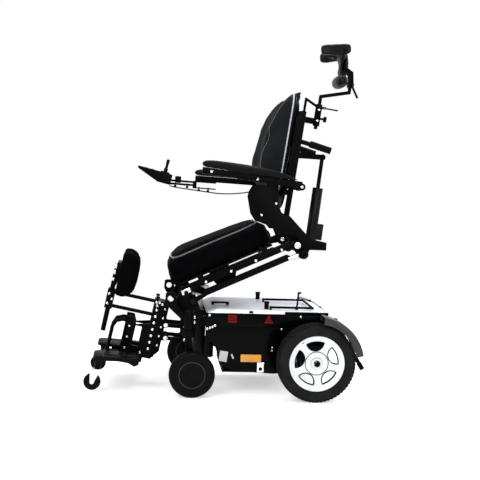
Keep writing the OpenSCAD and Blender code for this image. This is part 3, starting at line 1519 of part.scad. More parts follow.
tip_wheel_z = tip_clear + tip_wheel_d / 2;
tip_wheel_x = axle_x - tip_ahead - tip_trail;
tip_leg_in = tip_wheel_w / 2 + tip_fork_gap;
tip_crown_top = tip_boss_low - tip_boss_gap;
module tip_fork() color("#e6e8eb") {
    translate([axle_x - tip_ahead, tip_y, tip_crown_top - over]) cylinder(r = tip_stem_r,
        h = tip_boss_h - over * 2);
    translate([tip_wheel_x - tip_leg_half, tip_y - tip_leg_in - tip_fork_t, tip_crown_top - tip_crown_h])
        cube([tip_hood + tip_leg_half, (tip_leg_in + tip_fork_t) * 2, tip_crown_h]);
    for (y = [tip_y - tip_leg_in - tip_fork_t, tip_y + tip_leg_in]) plate(y, y + tip_fork_t) {
        translate([tip_wheel_x, tip_wheel_z]) circle(r = tip_leg_half);
        polygon([[tip_wheel_x - tip_leg_half, tip_wheel_z], [tip_wheel_x + tip_leg_half, tip_wheel_z],
            [tip_wheel_x + tip_hood, tip_crown_top - over], [tip_wheel_x - tip_leg_half,
                tip_crown_top - over]]);
    }
    rod([tip_wheel_x, tip_wheel_z], tip_y - tip_leg_in - over, tip_y + tip_leg_in + over, tip_pin_r);
}
module tip_wheel() color("#4a4d52") translate([tip_wheel_x, tip_y, tip_wheel_z]) rotate([-90, 0, 0])
    rotate_extrude()
    difference() {
        polygon([for (i = [0 : 15]) let (p = squircle(i * 22.5, 4))
            [tip_wheel_d / 4 + p[0] * tip_wheel_d / 4, p[1] * tip_wheel_w / 2]]);
        translate([0, -tip_wheel_w]) square([tip_pin_r + fit, tip_wheel_w * 2]);
    }
module left_tip_fork() mirror([0, 1, 0]) tip_fork();
module right_tip_fork() tip_fork();
module left_tip_wheel() mirror([0, 1, 0]) tip_wheel();
module right_tip_wheel() tip_wheel();

// Knee support

module knee_post() color("#1f2022") on_leg() {
    translate([post_x, 0, post_low]) cylinder(r = post_r, h = post_top - post_low);
    translate([post_x, -knee_plate_half, knee_plate_low])
        cube([post_r + knee_plate_t, knee_plate_half * 2, knee_plate_h]);
}
module knee_pad() color("#202124") on_leg() both()
    translate([post_x + post_r + knee_plate_t + seat_gap, (knee_w + knee_split) / 4, knee_low + knee_h / 2])
    rotate([0, 90, 0])
    padding(knee_h, (knee_w - knee_split) / 2, rolled_rings, function(u, v)
        knee_t * (1 - knee_taper_share * pow(max(0,
            abs(u) - knee_taper_from_share) / (1 - knee_taper_from_share), 2))
        * (1 - knee_hollow_share * pow(1 - v * v, 2)));

chassis_frame();
battery_pack();
side_panels();
top_cover();
cover_fittings();
reflectors();
drive_motors();
mudguards();
tie_down_brackets();
rear_anti_tip_bars();
link_bolts();
left_tyre();
left_wheel_disc();
right_tyre();
right_wheel_disc();
left_caster_fork();
left_caster_wheel();
right_caster_fork();
right_caster_wheel();
seat_frame();
seat_cushion();
lower_links();
back_carrier();
carrier_bolts();
side_guards();
lift_actuator();
lift_rod();
recline_actuator();
recline_rod();
back_frame();
back_shell();
back_cushion();
push_grips();
headrest_clamp();
headrest_stem();
stem_lever();
headrest_bracket();
headrest_pad();
left_arm_frame();
left_arm_pad();
right_arm_frame();
right_arm_pad();
joystick_mount();
joystick_pod();
power_button();
speed_button();
stick_gimbal();
joystick_stick();
joystick_cable();
leg_upper_links();
leg_lower_links();
leg_column();
left_footplate();
right_footplate();
left_tip_fork();
left_tip_wheel();
right_tip_fork();
right_tip_wheel();
knee_post();
knee_pad();
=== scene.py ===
"""Looks of the standing wheelchair: upholstery, tyres, fasteners, lead, finishes and a plain studio."""
import json
import logging
import math
from collections.abc import Iterable, Iterator, Sequence
from dataclasses import dataclass, field, replace
from enum import Enum

import bmesh
import bpy
from mathutils import Matrix, Vector, noise
from mathutils.bvhtree import BVHTree
from mathutils.kdtree import KDTree

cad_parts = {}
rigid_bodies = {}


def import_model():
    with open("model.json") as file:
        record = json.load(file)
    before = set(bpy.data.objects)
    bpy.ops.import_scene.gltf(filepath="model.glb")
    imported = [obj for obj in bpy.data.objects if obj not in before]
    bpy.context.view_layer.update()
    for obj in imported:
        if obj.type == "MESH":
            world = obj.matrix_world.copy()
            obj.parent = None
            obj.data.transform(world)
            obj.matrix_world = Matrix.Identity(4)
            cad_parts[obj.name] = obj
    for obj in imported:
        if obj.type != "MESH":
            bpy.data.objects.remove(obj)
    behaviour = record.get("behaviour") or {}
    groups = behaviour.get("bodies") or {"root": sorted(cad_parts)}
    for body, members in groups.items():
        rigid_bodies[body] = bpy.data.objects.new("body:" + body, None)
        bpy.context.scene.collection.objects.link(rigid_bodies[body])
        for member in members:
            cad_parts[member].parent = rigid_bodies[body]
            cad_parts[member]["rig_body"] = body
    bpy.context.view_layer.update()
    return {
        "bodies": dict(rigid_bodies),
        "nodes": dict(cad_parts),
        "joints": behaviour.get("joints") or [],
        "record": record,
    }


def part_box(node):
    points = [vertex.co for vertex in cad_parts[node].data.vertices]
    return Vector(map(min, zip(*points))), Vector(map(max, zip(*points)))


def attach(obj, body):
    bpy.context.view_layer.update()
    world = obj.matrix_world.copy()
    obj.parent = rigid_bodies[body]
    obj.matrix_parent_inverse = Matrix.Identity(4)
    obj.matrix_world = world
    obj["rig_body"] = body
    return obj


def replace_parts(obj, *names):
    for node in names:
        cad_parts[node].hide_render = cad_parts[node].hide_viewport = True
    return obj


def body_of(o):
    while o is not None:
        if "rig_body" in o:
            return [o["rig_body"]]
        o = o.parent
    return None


LOG = logging.getLogger("standing_wheelchair")
Mesh, Thing, Vert = bpy.types.Mesh, bpy.types.Object, bmesh.types.BMVert
Point = tuple[float, float, float]
Pair = tuple[float, float]
Profile = tuple[Pair, ...]
SIDES = {"left": -1, "right": 1}
shift = Matrix.Translation


def spun(angle: float, axis: str) -> Matrix:
    """Turn about an axis through the origin."""
    return Matrix.Rotation(angle, 4, axis)


def turned(place: Point, degrees: float) -> Matrix:
    """Directions of a sub-assembly that leans about Y."""
    return shift(place) @ spun(math.radians(degrees), "Y")


def both(frame: Matrix, place: Point) -> list[Matrix]:
    """A place in a frame, on the left and on the right."""
    x, y, z = place
    return [frame @ shift((x, side * y, z)) for side in SIDES.values()]


# Directions of the sub-assemblies at rest

SEAT_RISE = -24.7
BACK_LEAN = 7.2
ARM_PIVOT = (0.028, 0.0, 0.153)
AXLE = (0.375, 0.170)
BASE = Matrix.Identity(4)
SEAT = turned((-0.190, 0.0, 0.450), SEAT_RISE)
LINK = turned((-0.160, 0.0, 0.412), SEAT_RISE)
BACK = turned((0.23624, 0.0, 0.77313), BACK_LEAN)
LEG = turned((-0.340, 0.0, 0.130), 11.0)
LEFT_ARM = BACK @ turned(ARM_PIVOT, 6.3 - BACK_LEAN)
RIGHT_ARM = BACK @ turned(ARM_PIVOT, 2.2 - BACK_LEAN)
POD = RIGHT_ARM @ turned((-0.576, 0.276, 0.024), 10.8)


# Finishes

class Relief(Enum):
    """Fine shape of a surface."""

    PEEL = "peel"
    PEBBLE = "pebble"
    BRUSHED = "brushed"
    PRISM = "prism"
    CAST = "cast"


@dataclass(frozen=True)
class Finish:
    """One surface finish: colour, gloss and fine relief.

    Scale is relief cells per metre, patch is colour patches per metre.
    """

    name: str
    color: Point
    roughness: float
    metallic: float = 0.0
    coat: float = 0.0
    specular: float = 0.5
    relief: Relief = Relief.PEEL
    scale: float = 900.0
    depth: float = 0.08
    drift: float = 0.12
    patch: float = 14.0
    spread: float = 0.06
    dust: float = 0.0


POWDER = Finish("black_powder_coat", (0.0010, 0.0010, 0.0012), 0.40, specular=0.035, scale=1400)
GLOSS = Finish("gloss_black_panel", (0.0008, 0.0008, 0.0010), 0.22, specular=0.04, scale=260, depth=0.03,
               spread=0.03)
COVER = Finish("pale_cover", (0.80, 0.84, 0.90), 0.42, specular=0.3, scale=1500, depth=0.05, drift=0.03)
WHITE = Finish("white_wheel_paint", (0.66, 0.68, 0.705), 0.34, specular=0.3, scale=700, depth=0.03, drift=0.03)
TYRE = Finish("tyre_rubber", (0.0040, 0.0041, 0.0044), 0.66, specular=0.08, scale=1100, depth=0.16, drift=0.2,
              dust=0.05)
CASTER = Finish("caster_rubber", (0.0016, 0.0016, 0.0018), 0.46, specular=0.05, scale=1200, dust=0.01)
CHROME = Finish("bright_chrome", (0.80, 0.81, 0.83), 0.16, metallic=1.0, scale=500, depth=0.02, drift=0.05)
STEEL = Finish("plain_steel", (0.50, 0.51, 0.53), 0.32, metallic=1.0, relief=Relief.BRUSHED, scale=500,
               depth=0.06)
DARK_STEEL = Finish("dark_steel", (0.004, 0.004, 0.0045), 0.34, metallic=0.3, specular=0.08, depth=0.04)
# Back cushion upholstery: the same black vinyl as the seat's, with a base colour lightened to paint its sheen (a
# painted highlight)
SHEEN_HIDE = Finish("upholstery_painted_sheen", (0.0105, 0.0110, 0.0124), 0.58, specular=0.007, relief=Relief.PEBBLE,
              scale=620, depth=0.06, drift=0.15, patch=9, spread=0.05)
DARK_HIDE = replace(SHEEN_HIDE, name="dull_upholstery", color=(0.0014, 0.0014, 0.0017), roughness=0.66, specular=0.008)
HEAD_HIDE = replace(SHEEN_HIDE, name="headrest_upholstery", color=(0.0045, 0.0047, 0.0054), roughness=0.36,
                    specular=0.10, depth=0.05)
PAD = Finish("moulded_arm_pad", (0.0020, 0.0021, 0.0023), 0.50, specular=0.08, relief=Relief.PEBBLE, scale=800,
             depth=0.12)
# Seam piping: the raised beads are real, and their grey colour paints the highlight that the seams catch
HIGHLIGHT_WELT = Finish("welt_painted_highlight", (0.075, 0.078, 0.084), 0.34, specular=0.3, relief=Relief.PEBBLE, depth=0.06)
PALE_WELT = Finish("pale_welt", (0.42, 0.43, 0.45), 0.34, relief=Relief.PEBBLE, depth=0.05, drift=0.05)
GUARD = Finish("mudguard_plastic", (0.018, 0.0185, 0.019), 0.32, specular=0.35, scale=1200, depth=0.06, dust=0.03)
SHELL = Finish("shell_plastic", (0.0010, 0.0010, 0.0012), 0.42, specular=0.04, relief=Relief.CAST, depth=0.10)
RED = Finish("red_lens", (0.165, 0.0022, 0.005), 0.20, specular=0.10, relief=Relief.PRISM, scale=240, depth=0.25,
             drift=0.10)
AMBER = Finish("amber_lens", (0.56, 0.265, 0.045), 0.18, specular=0.25, relief=Relief.PRISM, scale=240, depth=0.25)
MOTOR = Finish("cast_motor_grey", (0.008, 0.0082, 0.009), 0.46, metallic=0.3, specular=0.12, relief=Relief.CAST,
               scale=800, depth=0.2)
ACTUATOR = Finish("actuator_grey", (0.0040, 0.0042, 0.0047), 0.36, specular=0.10, depth=0.06)
POD_SHELL = Finish("pod_plastic", (0.0010, 0.0010, 0.0012), 0.44, specular=0.04, relief=Relief.CAST, scale=1300,
                   depth=0.10)
RUBBER = Finish("grip_rubber", (0.0014, 0.0014, 0.0016), 0.60, specular=0.05, relief=Relief.PEBBLE, depth=0.15)
GREEN = Finish("green_button", (0.03, 0.30, 0.10), 0.34, coat=0.2, depth=0.03)
GREY = Finish("grey_button", (0.26, 0.275, 0.29), 0.38, depth=0.03)
PLATE = Finish("grey_plate", (0.42, 0.43, 0.44), 0.42, scale=700, depth=0.05)
FOOT_PLASTIC = Finish("foot_plastic", (0.0013, 0.0013, 0.0015), 0.44, specular=0.05, relief=Relief.CAST,
                      scale=700, depth=0.12, dust=0.01)
TIP_WHITE = Finish("tip_fork_white", (0.64, 0.69, 0.78), 0.34, specular=0.3, depth=0.04, drift=0.05)
CELL = Finish("battery_case", (0.002, 0.002, 0.0022), 0.50, specular=0.06, relief=Relief.CAST, scale=600,
              depth=0.10)
LEAD = Finish("lead_jacket", (0.0016, 0.0016, 0.0018), 0.44, specular=0.06, scale=2200, depth=0.06)


def listed(names: str) -> list[str]:
    """Node names in a text, where both_ stands for left_ and right_."""
    return [name.replace("both_", side) for name in names.split()
            for side in (("left_", "right_") if name.startswith("both_") else ("",))]


# Nodes that aren't listed are powder coated
NODE_FINISH: dict[str, Finish] = {node: finish for finish, names in (
    (CELL, "battery_pack"), (GLOSS, "side_panels"), (COVER, "top_cover"), (RED, "reflectors"),
    (RUBBER, "cover_fittings push_grips joystick_stick"), (MOTOR, "drive_motors"), (GUARD, "mudguards"),
    (CHROME, "tie_down_brackets carrier_bolts"), (DARK_STEEL, "link_bolts stem_lever"),
    (WHITE, "both_wheel_disc"), (CASTER, "both_caster_wheel both_tip_wheel"), (TYRE, "both_tyre"),
    (ACTUATOR, "lift_actuator recline_actuator"), (STEEL, "lift_rod stick_gimbal"),
    (SHELL, "back_shell side_guards"), (POD_SHELL, "joystick_pod"), (GREEN, "power_button"),
    (GREY, "speed_button"), (FOOT_PLASTIC, "both_footplate"), (TIP_WHITE, "both_tip_fork"),
) for node in listed(names)}


class Graph:
    """Nodes of one shader tree, added and linked by name."""

    def __init__(self, tree: bpy.types.NodeTree, **nodes: bpy.types.Node) -> None:
        """Starts from a tree and the nodes that it has already."""
        self.tree = tree
        self.nodes = nodes

    def fix(self, name: str, inputs: dict[str | int, object]) -> None:
        """Sets fixed inputs of a node."""
        for label, value in inputs.items():
            self.nodes[name].inputs[label].default_value = value

    def add(self, name: str, kind: str, inputs: dict[str | int, object] | None = None, **settings: object) -> None:
        """Adds a node.

        Args:
            name: Name used in the links.
            kind: Kind of shader node.
            inputs: Fixed inputs by socket.
            settings: Properties of the node.
        """
        self.nodes[name] = self.tree.nodes.new(f"ShaderNode{kind}")
        for label, value in settings.items():
            setattr(self.nodes[name], label, value)
        self.fix(name, inputs or {})

    def link(self, text: str) -> None:
        """Links sockets, by name or number.

        Args:
            text: Links such as "cloud.Fac > span.Value", with commas between.
        """
        for pair in text.split(","):
            (start, out), (end, into) = (side.strip().split(".") for side in pair.split(">"))
            ports = self.nodes[start].outputs, self.nodes[end].inputs
            self.tree.links.new(*(port[int(label) if label.isdigit() else label]
                                  for port, label in zip(ports, (out, into))))


class FinishShop:
    """Makes each finish's material once, from shared node groups."""

    both_ways = {"From Min": 0.3, "From Max": 0.7, "To Min": -1.0}
    dust_color = (0.16, 0.15, 0.14, 1.0)
    coat_roughness = 0.08
    relief_height = 0.001

    def __init__(self) -> None:
        """Builds the groups. No material is made yet."""
        self._made: dict[str, bpy.types.Material] = {}
        self._groups: dict[str, bpy.types.NodeTree] = {}
        self._drift()
        self._dust()
        self._gloss()
        for relief in Relief:
            self._relief(relief)

    def _group(self, name: str, inputs: str, output: str) -> Graph:
        """New node group.

        Args:
            name: Name of the group.
            inputs: Names of its inputs.
            output: Name of its one output.

        Returns:
            Its graph, with the nodes start and end.
        """
        tree = self._groups[name] = bpy.data.node_groups.new(name, "ShaderNodeTree")
        for way, labels in (("INPUT", inputs.split()), ("OUTPUT", [output])):
            for label in labels:
                kind = label if label in ("Vector", "Color") else "Float"
                tree.interface.new_socket(label, in_out=way, socket_type=f"NodeSocket{kind}")
        return Graph(tree, start=tree.nodes.new("NodeGroupInput"), end=tree.nodes.new("NodeGroupOutput"))

    def _drift(self) -> None:
        """Group that lightens and darkens a colour in soft patches."""
        graph = self._group("colour_drift", "Vector Color Patch Amount", "Color")
        graph.add("cloud", "TexNoise", {"Detail": 4.0})
        graph.add("span", "MapRange", self.both_ways)
        graph.add("gain", "Math", {2: 1.0}, operation="MULTIPLY_ADD")
        graph.add("shade", "HueSaturation")
        graph.link("start.Vector > cloud.Vector, start.Patch > cloud.Scale, cloud.Fac > span.Value,"
                   "span.Result > gain.0, start.Amount > gain.1, gain.0 > shade.Value,"
                   "start.Color > shade.Color, shade.Color > end.Color")

    def _dust(self) -> None:
        """Group that lays pale dust on a colour in specks, where two noises are high."""
        graph = self._group("dust", "Vector Color Amount", "Color")
        graph.add("wide", "TexNoise", {"Scale": 22.0})
        graph.add("fine", "TexNoise", {"Scale": 420.0, "Detail": 3.0})
        graph.add("mask", "Math", operation="MULTIPLY")
        graph.add("span", "MapRange", {"From Min": 0.18, "From Max": 0.42})
        graph.add("share", "Math", operation="MULTIPLY")
        graph.add("mix", "Mix", {"B": self.dust_color}, data_type="RGBA")
        graph.link("start.Vector > wide.Vector, start.Vector > fine.Vector, wide.Fac > mask.0, fine.Fac > mask.1,"
                   "mask.0 > span.Value, span.Result > share.0, start.Amount > share.1, share.0 > mix.Factor,"
                   "start.Color > mix.A, mix.Result > end.Color")

    def _gloss(self) -> None:
        """Group that varies roughness in rubbed and dull patches."""
        graph = self._group("gloss_drift", "Vector Level Spread", "Roughness")
        graph.add("cloud", "TexNoise", {"Detail": 5.0, "Scale": 38.0})
        graph.add("span", "MapRange", self.both_ways)
        graph.add("gain", "Math", operation="MULTIPLY_ADD", use_clamp=True)
        graph.link("start.Vector > cloud.Vector, cloud.Fac > span.Value, span.Result > gain.0,"
                   "start.Spread > gain.1, start.Level > gain.2, gain.0 > end.Roughness")

    def _relief(self, relief: Relief) -> None:
        """Group that gives the height of one kind of fine relief."""
        graph = self._group(f"{relief.value}_relief", "Vector Scale", "Height")
        if relief is Relief.PEBBLE:
            graph.add("cell", "TexVoronoi", {"Smoothness": 0.4}, feature="SMOOTH_F1")
            graph.add("crease", "TexNoise", {"Scale": 46.0, "Detail": 6.0})
            graph.add("total", "Math", {1: -0.7}, operation="MULTIPLY_ADD")
            graph.link("start.Vector > cell.Vector, start.Scale > cell.Scale, start.Vector > crease.Vector,"
                       "cell.Distance > total.0, crease.Fac > total.2, total.0 > end.Height")
        elif relief is Relief.PRISM:
            graph.add("total", "Math", operation="MAXIMUM")
            for index, axis in enumerate("XZ"):
                graph.add(axis, "TexWave", bands_direction=axis, wave_profile="TRI")
                graph.link(f"start.Vector > {axis}.Vector, start.Scale > {axis}.Scale, {axis}.Fac > total.{index}")
            graph.link("total.0 > end.Height")
        else:
            source = "start"
            if relief is Relief.BRUSHED:
                source = "stretch"
                graph.add(source, "Mapping", {"Scale": (0.06, 1.0, 1.0)})
                graph.link("start.Vector > stretch.Vector")
            graph.add("cloud", "TexNoise", {"Detail": 6.0 if relief is Relief.CAST else 2.0})
            graph.link(f"{source}.Vector > cloud.Vector, start.Scale > cloud.Scale, cloud.Fac > end.Height")

    def _mixed(self, finish: Finish) -> bpy.types.Material:
        """New material of a finish."""
        made = bpy.data.materials.new(finish.name)
        made.use_nodes = True
        color = made.diffuse_color = (*finish.color, 1.0)
        graph = Graph(made.node_tree, shader=made.node_tree.nodes["Principled BSDF"])
        graph.fix("shader", {"Metallic": finish.metallic, "Specular IOR Level": finish.specular,
                             "Coat Weight": finish.coat, "Coat Roughness": self.coat_roughness})
        graph.add("place", "TexCoord")
        used = {"colour_drift": {"Color": color, "Patch": finish.patch, "Amount": finish.drift},
                "gloss_drift": {"Level": finish.roughness, "Spread": finish.spread},
                f"{finish.relief.value}_relief": {"Scale": finish.scale}}
        if finish.dust:
            used["dust"] = {"Amount": finish.dust}
        for name, values in used.items():
            graph.add(name, "Group", values, node_tree=self._groups[name])
            graph.link(f"place.Object > {name}.Vector")
        graph.add("bump", "Bump", {"Strength": finish.depth, "Distance": self.relief_height})
        graph.link(f"{finish.relief.value}_relief.Height > bump.Height, bump.Normal > shader.Normal,"
                   "gloss_drift.Roughness > shader.Roughness")
        graph.link("colour_drift.Color > dust.Color, dust.Color > shader.Base Color" if finish.dust
                   else "colour_drift.Color > shader.Base Color")
        return made

    def dress(self, piece: Thing, finish: Finish) -> None:
        """Gives a piece one finish all over."""
        if finish.name not in self._made:
            self._made[finish.name] = self._mixed(finish)
        piece.data.materials.clear()
        piece.data.materials.append(self._made[finish.name])


# Modelling

def put(name: str, data: bpy.types.ID) -> Thing:
    """New object in the scene."""
    made = bpy.data.objects.new(name, data)
    bpy.context.scene.collection.objects.link(made)
    return made


def discard(holder: Thing) -> None:
    """Removes an object and its data."""
    data = holder.data
    bpy.data.objects.remove(holder)
    (bpy.data.curves if isinstance(data, bpy.types.Curve) else bpy.data.meshes).remove(data)


def evaluated(holder: Thing) -> Thing:
    """An object as its modifiers leave it."""
    return holder.evaluated_get(bpy.context.evaluated_depsgraph_get())


def settled(holder: Thing) -> Mesh:
    """Mesh of an object as its modifiers leave it. The object is used up."""
    mesh = bpy.data.meshes.new_from_object(evaluated(holder))
    discard(holder)
    return mesh


def modified(source: Mesh, kind: str, **settings: object) -> Mesh:
    """A mesh changed by one modifier. The source is used up.

    Args:
        source: Mesh to change.
        kind: Kind of modifier.
        settings: Its settings.

    Returns:
        The changed mesh.
    """
    holder = put(source.name, source)
    modifier = holder.modifiers.new("change", kind)
    for label, value in settings.items():
        setattr(modifier, label, value)
    return settled(holder)


def poured(form: bmesh.types.BMesh, name: str) -> Mesh:
    """Mesh of a form, which is used up."""
    mesh = bpy.data.meshes.new(name)
    form.to_mesh(mesh)
    form.free()
    return mesh


def filled(mesh: Mesh) -> bmesh.types.BMesh:
    """Form of a mesh."""
    form = bmesh.new()
    form.from_mesh(mesh)
    return form


def facing(place: Sequence[float], direction: Sequence[float]) -> Matrix:
    """Place whose local Z looks along a direction."""
    return shift(Vector(place)) @ Vector(direction).normalized().to_track_quat("Z", "Y").to_matrix().to_4x4()


def smooth_path(points: Sequence[Vector], cuts: int) -> list[Vector]:
    """Points of a smooth curve through the given ones.

    Args:
        points: Points to pass through.
        cuts: Steps between neighbours.

    Returns:
        The finer points.
    """
    ends = [points[0] * 2 - points[1], *points, points[-1] * 2 - points[-2]]
    out: list[Vector] = []
    for a, b, c, d in zip(ends, ends[1:], ends[2:], ends[3:]):
        for t in (i / cuts for i in range(cuts)):
            out.append(0.5 * (2 * b + (c - a) * t + (2 * a - 5 * b + 4 * c - d) * t * t
                              + (3 * b - a - 3 * c + d) * t ** 3))
    return [*out, points[-1].copy()]


def round_curve(name: str, path: Sequence[Vector], radius: float, closed: bool = False,
                sides: int = 3) -> bpy.types.Curve:
    """Round cord along a path.

    Args:
        name: Name of the curve.
        path: Points of its middle line.
        radius: Radius of the cord.
        closed: Whether it runs round a loop.
        sides: Resolution of the round.

    Returns:
        The curve.
    """
    curve = bpy.data.curves.new(name, "CURVE")
    curve.dimensions = "3D"
    curve.bevel_depth, curve.bevel_resolution, curve.use_fill_caps = radius, sides, True
    spline = curve.splines.new("POLY")
    spline.points.add(len(path) - 1)
    for point, at in zip(spline.points, path):
        point.co = (*at, 1.0)
    spline.use_cyclic_u = closed
    return curve


class Mold:
    """A mesh collected from operators, then taken as one piece.

    The profiles of nuts and screws are in shares of radius and height.
    """

    washer: Profile = ((0, 0), (1.28, 0), (1.28, 0.2), (0.5, 0.2))
    bolt_end: Profile = ((0, 1), (0.52, 1), (0.5, 1.2), (0.3, 1.28), (0, 1.3))
    button_head: Profile = ((0, 0.35), (0.44, 0.35), (0.47, 0.95), (0.62, 1), (0.86, 0.72), (1, 0.3), (1.22, 0.22),
                            (1.24, 0), (0, 0))
    nut_top: float = 0.9
    nut_ease: float = 0.18

    def __init__(self) -> None:
        """Starts empty."""
        self.form = bmesh.new()

    def since(self, before: set[Vert]) -> list[Vert]:
        """Vertices added to those before."""
        return [v for v in self.form.verts if v not in before]

    def settle(self, before: set[Vert], place: Matrix) -> None:
        """Moves what was added to its place."""
        bmesh.ops.transform(self.form, matrix=place, verts=self.since(before))

    def outward(self, verts: Iterable[Vert]) -> None:
        """Turns the faces round some vertices to the outside."""
        faces = dict.fromkeys(f for v in verts for f in v.link_faces)
        bmesh.ops.recalc_face_normals(self.form, faces=list(faces))

    def ease(self, edges: Iterable[bmesh.types.BMEdge], width: float, segments: int, clamp: bool = True) -> None:
        """Rounds edges.

        Args:
            edges: Edges to round, in any number of mentions.
            width: Width of the easing.
            segments: Divisions of the easing.
            clamp: Whether the width stops where two easings meet.
        """
        bmesh.ops.bevel(self.form, geom=list(dict.fromkeys(edges)), offset=width, offset_type="OFFSET",
                        segments=segments, profile=0.5, affect="EDGES", material=-1, clamp_overlap=clamp)

    def lathe(self, profile: Sequence[Pair], place: Matrix, steps: int = 32) -> None:
        """Turned form about local Z.

        Args:
            profile: Radius and height of each point.
            place: Place and direction of the axis.
            steps: Divisions of a full turn.
        """
        before = set(self.form.verts)
        verts = [self.form.verts.new((r, 0.0, h)) for r, h in profile]
        edges = [self.form.edges.new(pair) for pair in zip(verts, verts[1:])]
        bmesh.ops.spin(self.form, geom=verts + edges, cent=(0, 0, 0), axis=(0, 0, 1), angle=math.tau,
                       steps=steps, use_merge=True)
        bmesh.ops.remove_doubles(self.form, verts=self.since(before), dist=1e-6)
        self.outward(self.since(before))
        self.settle(before, place)

    def block(self, size: Point, place: Matrix, ease: float, segments: int = 2) -> None:
        """Box with eased edges.

        Args:
            size: Full lengths along local X, Y and Z.
            place: Place and direction of its middle.
            ease: Width of the eased edges.
            segments: Divisions of the easing.
        """
        before = set(self.form.verts)
        made = bmesh.ops.create_cube(self.form, size=1.0)["verts"]
        bmesh.ops.scale(self.form, vec=size, verts=made)
        self.ease((e for v in made for e in v.link_edges), ease, segments)
        self.settle(before, place)

    def prism(self, outline: Sequence[Pair], half: float, place: Matrix, ease: float) -> None:
        """Outline in local X and Z, drawn out to both sides along Y, with eased edges.

        Args:
            outline: Corners in order.
            half: Half of its width along Y.
            place: Place and direction.
            ease: Width of the eased edges.
        """
        before = set(self.form.verts)
        face = self.form.faces.new([self.form.verts.new((x, -half, z)) for x, z in outline])
        drawn = bmesh.ops.extrude_face_region(self.form, geom=[face])["geom"]
        bmesh.ops.translate(self.form, vec=(0, 2 * half, 0),
                            verts=[v for v in drawn if isinstance(v, Vert)])
        new = self.since(before)
        self.outward(new)
        self.ease((e for v in new for e in v.link_edges), ease, 3)
        self.settle(before, place)

    def ribbon(self, outline: Sequence[Vector], place: Matrix, low: float, high: float, wall: float) -> None:
        """Wall that stands along a closed outline.

        Args:
            outline: Points in local X and Y, counter-clockwise.
            place: Place and direction of the outline.
            low: Lower end of the wall along local Z.
            high: Upper end of the wall.
            wall: Its thickness, laid to the inside.
        """
        rings = []
        for index, point in enumerate(outline):
            along = outline[(index + 1) % len(outline)] - outline[index - 1]
            inner = point + Vector((-along.y, along.x)).normalized() * wall
            corners = ((point, low), (point, high), (inner, high), (inner, low))
            rings.append([self.form.verts.new(place @ Vector((*at, z))) for at, z in corners])
        for ring, onward in zip(rings, [*rings[1:], rings[0]]):
            for k in range(4):
                self.form.faces.new((ring[k], onward[k], onward[k - 3], ring[k - 3]))

    def hexagon(self, radius: float, height: float, place: Matrix) -> None:
        """Six-sided nut with an eased top, a washer and a bolt end."""
        self.lathe([(radius * r, height * h) for r, h in self.washer], place, 24)
        before = set(self.form.verts)
        bmesh.ops.create_cone(self.form, cap_ends=True, segments=6, radius1=radius, radius2=radius, depth=height,
                              matrix=shift((0, 0, height * 0.5)))
        self.ease((e for v in self.since(before) for e in v.link_edges
                   if all(w.co.z > height * self.nut_top for w in e.verts)), height * self.nut_ease, 2, clamp=False)
        self.settle(before, place)
        self.lathe([(radius * r, height * h) for r, h in self.bolt_end], place, 16)

    def screw(self, radius: float, height: float, place: Matrix) -> None:
        """Button-head screw with a socket and a thin washer."""
        self.lathe([(radius * r, height * h) for r, h in self.button_head], place, 20)

    def tube(self, path: Sequence[Vector], radius: float, closed: bool = False, sides: int = 3) -> None:
        """Round bead along a path, as round_curve makes it."""
        mesh = settled(put("bead", round_curve("bead", path, radius, closed, sides)))
        self.form.from_mesh(mesh)
        bpy.data.meshes.remove(mesh)

    def take(self, name: str, smooth: float) -> Mesh:
        """Mesh of what was collected.

        Args:
            name: Name of the mesh.
            smooth: Greatest angle in degrees that still shades smooth.

        Returns:
            The mesh.
        """
        for face in self.form.faces:
            face.smooth = True
        mesh = poured(self.form, name)
        mesh.set_sharp_from_angle(angle=math.radians(smooth))
        return mesh


@dataclass
class Chair:
    """The frame, its finishes and the pieces made so far."""

    frame: dict
    shop: FinishShop
    pieces: list[str] = field(default_factory=list)
    _trees: dict[str, BVHTree] = field(default_factory=dict)

    def node(self, name: str) -> Thing:
        """CAD node of that name."""
        return self.frame["nodes"][name]

    def body(self, node: str) -> str:
        """Body that carries a CAD node."""
        found = body_of(self.node(node))
        return found if isinstance(found, str) else found[0]

    def add(self, name: str, data: bpy.types.ID, body: str, finish: Finish, slot: str) -> Thing:
        """Makes a piece that rides on a body.

        Args:
            name: Name of the piece.
            data: Its mesh or curve, in place.
            body: CAD body that carries it.
            finish: Its finish.
            slot: Material slot of the record; not used.

        Returns:
            The piece.
        """
        piece = put(name, data)
        self.shop.dress(piece, finish)
        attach(piece, body)
        self.pieces.append(name)
        LOG.info("%s rides on %s", name, body)
        return piece

    def cast(self, name: str, mold: Mold, body: str, finish: Finish, slot: str,
             smooth: float = 38.0) -> Thing:
        """Makes a piece from a mold, which is used up. The rest is as for add and Mold.take."""
        return self.add(name, mold.take(name, smooth), body, finish, slot)

    def seat_on(self, node: str, start: Vector, toward: Vector) -> Vector | None:
        """Point of a CAD node first met along a line.

        Args:
            node: CAD node.
            start: Start of the line.
            toward: Direction of the line.

        Returns:
            The point, or None where the line misses.
        """
        if node not in self._trees:
            form = filled(self.node(node).data)
            self._trees[node] = BVHTree.FromBMesh(form)
            form.free()
        return self._trees[node].ray_cast(start, toward)[0]


# Studio and lead

@dataclass(frozen=True)
class Lamp:
    """A soft box that looks at a point."""

    name: str
    place: Point
    aim: Point
    size: Pair
    power: float


